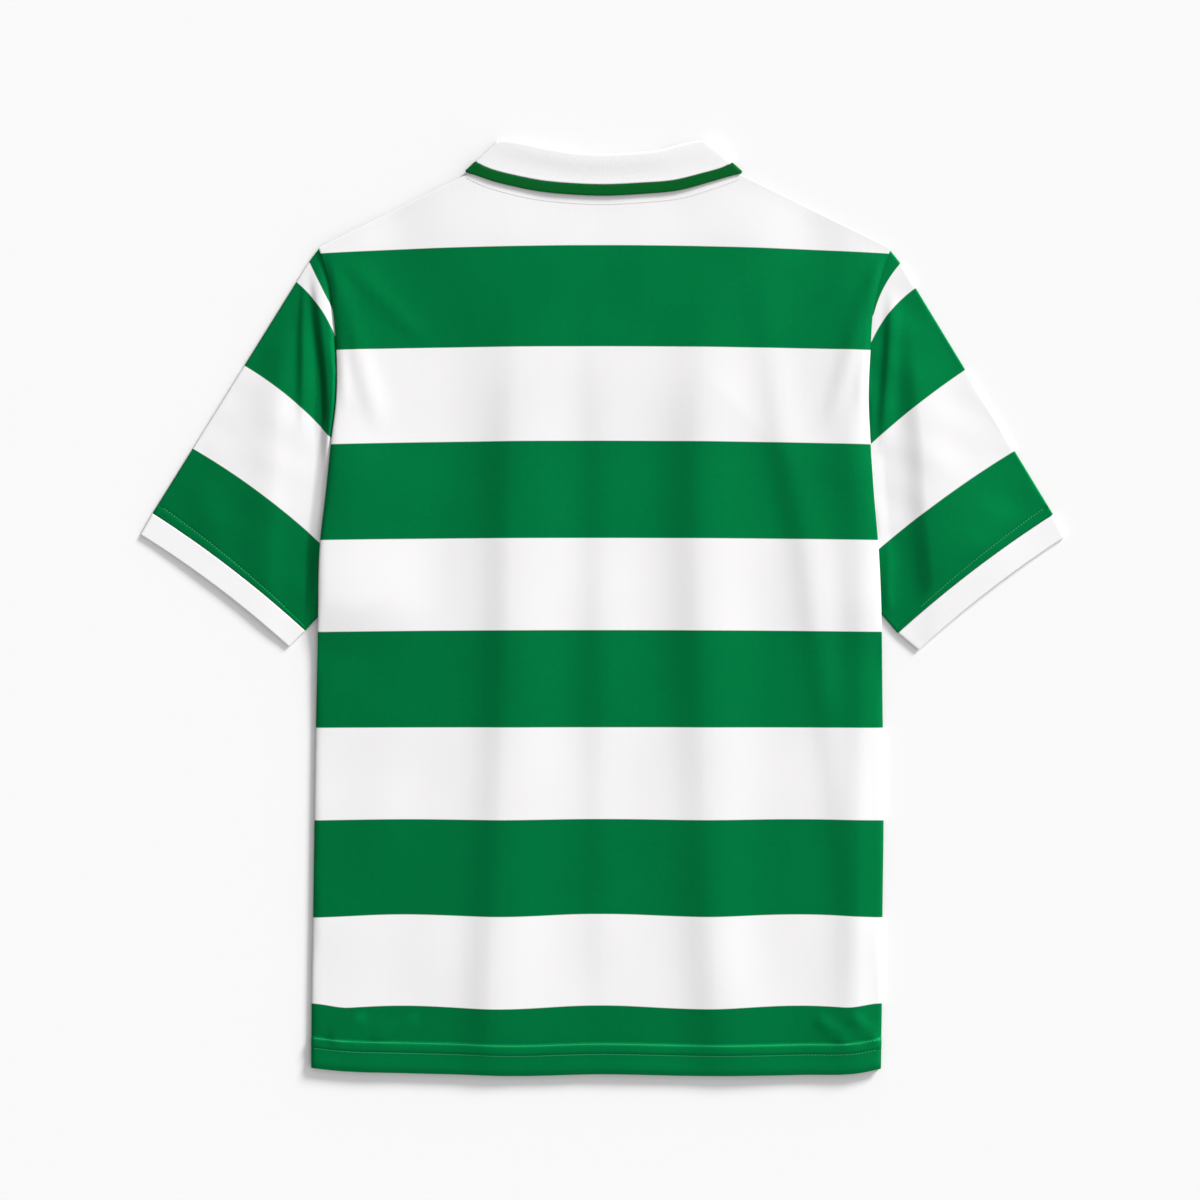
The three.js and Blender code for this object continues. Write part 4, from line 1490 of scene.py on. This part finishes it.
def knit_group() -> bpy.types.NodeTree:
    """Fine knit: wales and courses as the product of two sines of the cloth's own map.

    Returns:
        A group whose Height runs from 0 between the loops to 1 on them.
    """
    group, nodes = new_group("fine_knit", {"Wale": 0.00095, "Course": 0.00075}, ("Height",))
    given = nodes.add("NodeGroupInput").outputs
    cloth = nodes.add("ShaderNodeUVMap", uv_map=CLOTH_MAP).outputs[0]
    place = nodes.add("ShaderNodeSeparateXYZ", {0: cloth}).outputs
    wale = nodes.maths("MULTIPLY", nodes.maths("DIVIDE", place[0], given["Wale"]), 2.0 * math.pi)
    course = nodes.maths("MULTIPLY", nodes.maths("DIVIDE", place[1], given["Course"]), 2.0 * math.pi)
    leg = nodes.maths("ABSOLUTE", nodes.maths("SINE", nodes.maths("MULTIPLY", wale, 0.5)))
    slant = nodes.maths("ADD", course, nodes.maths("MULTIPLY", nodes.maths("COSINE", wale), 1.4))
    loop = nodes.maths("MULTIPLY_ADD", nodes.maths("SINE", slant), 0.5)
    loop.node.inputs[2].default_value = 0.5
    height = nodes.maths("MULTIPLY", leg, loop)
    nodes.add("NodeGroupOutput", {"Height": height})
    return group


def mottle_group() -> bpy.types.NodeTree:
    """Uneven tone of dyed knit: fine and broad noise on Object coordinates, added round 1.

    Returns:
        A group whose Tone multiplies a colour's brightness.
    """
    group, nodes = new_group("mottled_tone", {"Fine": 0.05, "Broad": 0.04}, ("Tone",))
    given = nodes.add("NodeGroupInput").outputs
    place = nodes.add("ShaderNodeTexCoord").outputs["Object"]
    total = 1.0
    for scale, detail, amount in ((260.0, 2.0, given["Fine"]), (32.0, 3.0, given["Broad"])):
        noise = nodes.add("ShaderNodeTexNoise", {"Vector": place, "Scale": scale, "Detail": detail})
        offset = nodes.maths("MULTIPLY", nodes.maths("SUBTRACT", noise.outputs[0], 0.5), amount)
        total = nodes.maths("ADD", total, offset)
    nodes.add("NodeGroupOutput", {"Tone": total})
    return group


def hoop_group() -> bpy.types.NodeTree:
    """Hoops: 1 in green cloth and 0 in white, with a sharp edge, from the distance to the nearest hoop edge.

    Returns:
        A group whose Green is the mask.
    """
    group, nodes = new_group("hoops", {"Edge": 0.0006}, ("Green",))
    given = nodes.add("NodeGroupInput").outputs
    distance = nodes.add("ShaderNodeAttribute", attribute_name=HOOP_ATTRIBUTE).outputs["Fac"]
    share = nodes.maths("ADD", nodes.maths("DIVIDE", distance, given["Edge"]), 0.5)
    nodes.add("NodeGroupOutput", {"Green": nodes.add("ShaderNodeClamp", {0: share}).outputs[0]})
    return group


@dataclass(frozen=True)
class Dyes:
    """The colours of the cloths and threads, as linear light."""

    green: tuple[float, float, float, float] = (0.0008, 0.188, 0.052, 1.0)
    white: tuple[float, float, float, float] = (0.757, 0.747, 0.752, 1.0)
    cuff_white: tuple[float, float, float, float] = (0.785, 0.775, 0.780, 1.0)
    collar_white: tuple[float, float, float, float] = (0.770, 0.768, 0.775, 1.0)
    edge_green: tuple[float, float, float, float] = (0.0010, 0.092, 0.015, 1.0)
    thread_green: tuple[float, float, float, float] = (0.040, 0.340, 0.150, 1.0)
    # Neck-row thread, greyer than the white cloth: partly its own tone, partly painted shade of the seam's groove
    thread_white: tuple[float, float, float, float] = (0.560, 0.550, 0.560, 1.0)


@dataclass
class Finishes:
    """Every material of the jersey, made from shared node groups."""

    dyes: Dyes = Dyes()
    # Share of the green's light that comes from the gloss of its dyed fibres, which is green too
    dyed_gloss: float = 0.92
    groups: dict = field(default_factory=dict)

    def __post_init__(self) -> None:
        """Builds the shared groups once."""
        self.groups = {"knit": knit_group(), "mottle": mottle_group(), "hoops": hoop_group()}

    def _use(self, nodes: NodeTree, name: str, **values: float) -> bpy.types.Node:
        """Places a shared group in a material.

        Args:
            nodes: The material's nodes.
            name: The group's short name.
            values: The group's input values.

        Returns:
            The group's node.
        """
        node = nodes.add("ShaderNodeGroup", node_tree=self.groups[name])
        for key, value in values.items():
            node.inputs[key].default_value = value
        return node

    def _begin(self, name: str) -> tuple[bpy.types.Material, NodeTree, bpy.types.Node]:
        """A material with an empty Principled shader.

        Args:
            name: The material's name.

        Returns:
            The material, a helper for its nodes, and the shader.
        """
        material = bpy.data.materials.new(name)
        material.use_nodes = True
        nodes = NodeTree(material.node_tree)
        return material, nodes, material.node_tree.nodes["Principled BSDF"]

    def _toned(self, nodes: NodeTree, colour: object, tone: object) -> bpy.types.NodeSocket:
        """A colour multiplied by a varying tone."""
        mix = nodes.add("ShaderNodeVectorMath", {0: colour, 1: tone}, operation="MULTIPLY")
        return mix.outputs[0]

    def _bump(self, nodes: NodeTree, height: object, distance: float) -> bpy.types.NodeSocket:
        """A normal from a height."""
        return nodes.add("ShaderNodeBump", {"Height": height, "Distance": distance, "Strength": 1.0}).outputs[0]

    def hooped_knit(self) -> bpy.types.Material:
        """Satin knit with green hoops on white.

        Returns:
            The material.
        """
        material, nodes, shader = self._begin("hooped_knit")
        green = self._use(nodes, "hoops").outputs["Green"]
        tone = self._use(nodes, "mottle", Fine=0.10, Broad=0.06).outputs["Tone"]
        dyed = self._toned(nodes, self.dyes.green[:3], tone)
        colour = nodes.add("ShaderNodeMix", {0: green, 6: self.dyes.white, 7: dyed}, data_type="RGBA").outputs[2]
        knit = self._use(nodes, "knit").outputs["Height"]
        nodes.tree.links.new(colour, shader.inputs["Base Color"])
        rough = nodes.add("ShaderNodeMapRange", {0: green, 3: 0.70, 4: 0.60}).outputs[0]
        nodes.tree.links.new(rough, shader.inputs["Roughness"])
        gloss = nodes.add("ShaderNodeMapRange", {0: green, 3: 0.0, 4: self.dyed_gloss}).outputs[0]
        nodes.tree.links.new(gloss, shader.inputs["Metallic"])
        nodes.tree.links.new(self._bump(nodes, knit, 0.00006), shader.inputs["Normal"])
        shader.inputs["Specular IOR Level"].default_value = 0.04
        return material

    def plain_knit(
        self, name: str, colour: tuple, wale: float, course: float, depth: float
    ) -> bpy.types.Material:
        """One colour of knit, for the cuffs, the collar and its band.

        Args:
            name: The material's name.
            colour: Its dye.
            wale: Width of a column of loops.
            course: Height of a row of loops.
            depth: Height of the loops.

        Returns:
            The material.
        """
        material, nodes, shader = self._begin(name)
        tone = self._use(nodes, "mottle", Fine=0.03, Broad=0.02).outputs["Tone"]
        nodes.tree.links.new(self._toned(nodes, colour[:3], tone), shader.inputs["Base Color"])
        knit = self._use(nodes, "knit", Wale=wale, Course=course).outputs["Height"]
        rough = nodes.add("ShaderNodeMapRange", {0: knit, 3: 0.80, 4: 0.68}).outputs[0]
        nodes.tree.links.new(rough, shader.inputs["Roughness"])
        nodes.tree.links.new(self._bump(nodes, knit, depth), shader.inputs["Normal"])
        shader.inputs["Specular IOR Level"].default_value = 0.04
        return material

    def thread(self, name: str, colour: tuple) -> bpy.types.Material:
        """Sewing thread, with painted shade and highlight of its plies as slanted stripes of tone.

        Args:
            name: The material's name.
            colour: Its dye.

        Returns:
            The material.
        """
        material, nodes, shader = self._begin(name)
        place = nodes.add("ShaderNodeTexCoord").outputs["Object"]
        # Painted shade and highlight of the thread's plies, as slanted stripes of tone
        ply_shading = nodes.add("ShaderNodeTexWave", {"Vector": place, "Scale": 900.0}, bands_direction="DIAGONAL")
        tone = nodes.add("ShaderNodeMapRange", {0: ply_shading.outputs[1], 3: 0.85, 4: 1.1}).outputs[0]
        nodes.tree.links.new(self._toned(nodes, colour[:3], tone), shader.inputs["Base Color"])
        shader.inputs["Roughness"].default_value = 0.5
        return material

    def floor(self) -> bpy.types.Material:
        """A plain pale surface.

        Returns:
            The material.
        """
        material, _, shader = self._begin("pale_surface")
        shader.inputs["Base Color"].default_value = (0.80, 0.798, 0.798, 1.0)
        shader.inputs["Roughness"].default_value = 0.9
        shader.inputs["Specular IOR Level"].default_value = 0.1
        return material


# Studio


@dataclass
class Studio:
    """The pale surface, the soft light and the camera straight above the jersey."""

    frame_width: float = 1.032
    aim: tuple[float, float] = (-0.0022, 0.0070)
    lens: float = 85.0
    sensor: float = 36.0
    sun_elevation: float = 21.0
    sun_azimuth: float = 40.0
    sun_spread: float = 15.0
    sun_strength: float = 4.5
    sky_strength: float = 0.678
    sky_slant: float = 0.85
    floor_half: float = 4.0

    def build(self, finishes: Finishes) -> None:
        """Adds the surface, the light and the camera.

        Args:
            finishes: The materials.
        """
        self._floor(finishes.floor())
        self._light()
        self._camera()

    def _floor(self, material: bpy.types.Material) -> None:
        """A square surface at height 0."""
        floor = new_piece("floor")
        half = self.floor_half
        corners = np.array([(-half, -half, 0.0), (half, -half, 0.0), (half, half, 0.0), (-half, half, 0.0)])
        set_surface(floor, corners, np.array([[0, 1, 2, 3]]))
        floor.data.materials.append(material)

    def _light(self) -> None:
        """A pale sky that is brighter on the right, and a low soft sun from above right of the picture."""
        world = bpy.data.worlds.new("studio")
        world.use_nodes = True
        nodes = NodeTree(world.node_tree)
        backdrop = world.node_tree.nodes["Background"]
        backdrop.inputs[0].default_value = (1.0, 0.998, 0.998, 1.0)
        towards = nodes.add("ShaderNodeSeparateXYZ", {0: nodes.add("ShaderNodeTexCoord").outputs["Generated"]})
        slanted = nodes.maths("MULTIPLY", towards.outputs[0], self.sky_slant * self.sky_strength)
        nodes.tree.links.new(nodes.maths("ADD", slanted, self.sky_strength), backdrop.inputs[1])
        bpy.context.scene.world = world
        sun = bpy.data.lights.new("key", "SUN")
        sun.energy = self.sun_strength
        sun.angle = math.radians(self.sun_spread)
        key = bpy.data.objects.new("key", sun)
        tilt, turn = math.radians(90.0 - self.sun_elevation), math.radians(180.0 - self.sun_azimuth)
        key.rotation_euler = (tilt, 0.0, turn)
        bpy.context.scene.collection.objects.link(key)

    def _camera(self) -> None:
        """A long lens straight down, with the neck at the top of the picture."""
        camera = bpy.data.cameras.new("camera")
        camera.lens, camera.sensor_width = self.lens, self.sensor
        holder = bpy.data.objects.new("camera", camera)
        holder.location = (*self.aim, self.frame_width * self.lens / self.sensor)
        bpy.context.scene.collection.objects.link(holder)
        bpy.context.scene.camera = holder
        bpy.context.scene.view_settings.view_transform = "Standard"


# The whole jersey


@dataclass
class Jersey:
    """All pieces of the jersey, dressed."""

    lie: Lie
    finishes: Finishes
    pieces: dict = field(default_factory=dict)

    def keep(
        self, piece: bpy.types.Object, material: bpy.types.Material, slot: str, *nodes: str
    ) -> bpy.types.Object:
        """Dresses a piece, fixes it to the part and hides the nodes that it stands for.

        Args:
            piece: The piece.
            material: Its material.
            slot: Not used.
            nodes: The nodes that it replaces.

        Returns:
            The piece.
        """
        piece.data.materials.append(material)
        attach(piece, "root")
        if nodes:
            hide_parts(*nodes)
        self.pieces[piece.name] = piece
        LOG.info("%s: %d faces", piece.name, len(piece.data.polygons))
        return piece

    def build(self) -> None:
        collar = Collar(self.lie)
        back_neck, front_neck = collar.neckline()
        hooped = self.finishes.hooped_knit()
        dyes = self.finishes.dyes
        white = self.finishes.plain_knit("white_knit", dyes.cuff_white, 0.00095, 0.00075, 0.00006)
        collar_white = self.finishes.plain_knit("collar_knit", dyes.collar_white, 0.0011, 0.0009, 0.00010)
        edge_green = self.finishes.plain_knit("edge_rib", dyes.edge_green, 0.0013, 0.0011, 0.00016)
        green_thread = self.finishes.thread("green_thread", dyes.thread_green)
        # The neck row's thread carries painted shade of the seam's groove as well as its own grey
        white_thread = self.finishes.thread("white_thread", dyes.thread_white)

        back = BackPanel(self.lie, back_neck)
        self.keep(back.build(), hooped, "hooped_cloth", "back_panel")
        self.keep(FrontPanel(self.lie, front_neck).build(), hooped, "hooped_cloth", "front_panel")
        for side in Side:
            cut = Sleeve(self.lie, side)
            sleeve = self.keep(cut.build(), hooped, "hooped_cloth", f"sleeve_{side.word}")
            cuff = self.keep(Cuff(self.lie, side).build(), white, "white_cloth", f"cuff_{side.word}")
            row = Stitches(f"sleeve_stitches_{side.word}").build(cut.stitch_line((0.02, 0.86)))
            self.keep(row, green_thread, "hooped_cloth")
        strip = self.keep(collar.build_strip(), collar_white, "white_collar", "collar")
        band = self.keep(collar.build_band(), edge_green, "green_edge", "collar_edge")
        hem_rows = [self.hem_stitches(back, row, green_thread) for row in back.stitch_rows]
        neck = self.neck_stitches(back, collar.neck_seam(), white_thread)

    def hem_stitches(self, back: BackPanel, row: float, thread: bpy.types.Material) -> bpy.types.Object:
        """One row of stitches along the hem, at an even distance above its edge.

        Args:
            back: The back panel.
            row: Distance above the hem's edge.
            thread: The thread's material.

        Returns:
            The piece.
        """
        x = np.linspace(self.lie.sides[0, 1] + 0.002, self.lie.sides[0, 2] - 0.002, 900)
        y = self.lie.hem_y(x) + row
        line = np.stack([x, y, back.top_height(x, y)], axis=1)
        name = "hem_stitches_lower" if row == back.stitch_rows[0] else "hem_stitches_upper"
        return self.keep(Stitches(name).build(line), thread, "hooped_cloth")

    def neck_stitches(self, back: BackPanel, line: np.ndarray, thread: bpy.types.Material) -> bpy.types.Object:
        """The row that holds the neckline's seam down, a little below the collar's free edge.

        Args:
            back: The back panel.
            line: The row's points in plan.
            thread: The thread's material.

        Returns:
            The piece.
        """
        height = back.top_height(line[:, 0], line[:, 1]) + 0.0001
        points = np.concatenate([line, height[:, None]], axis=1)
        return self.keep(Stitches("neck_stitches").build(points), thread, "hooped_cloth")


def main() -> None:
    """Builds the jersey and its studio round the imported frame."""
    logging.basicConfig(level=logging.INFO, format="%(name)s: %(message)s")
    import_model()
    finishes = Finishes()
    Jersey(Lie(), finishes).build()
    Studio().build(finishes)


if __name__ == "__main__":
    main()
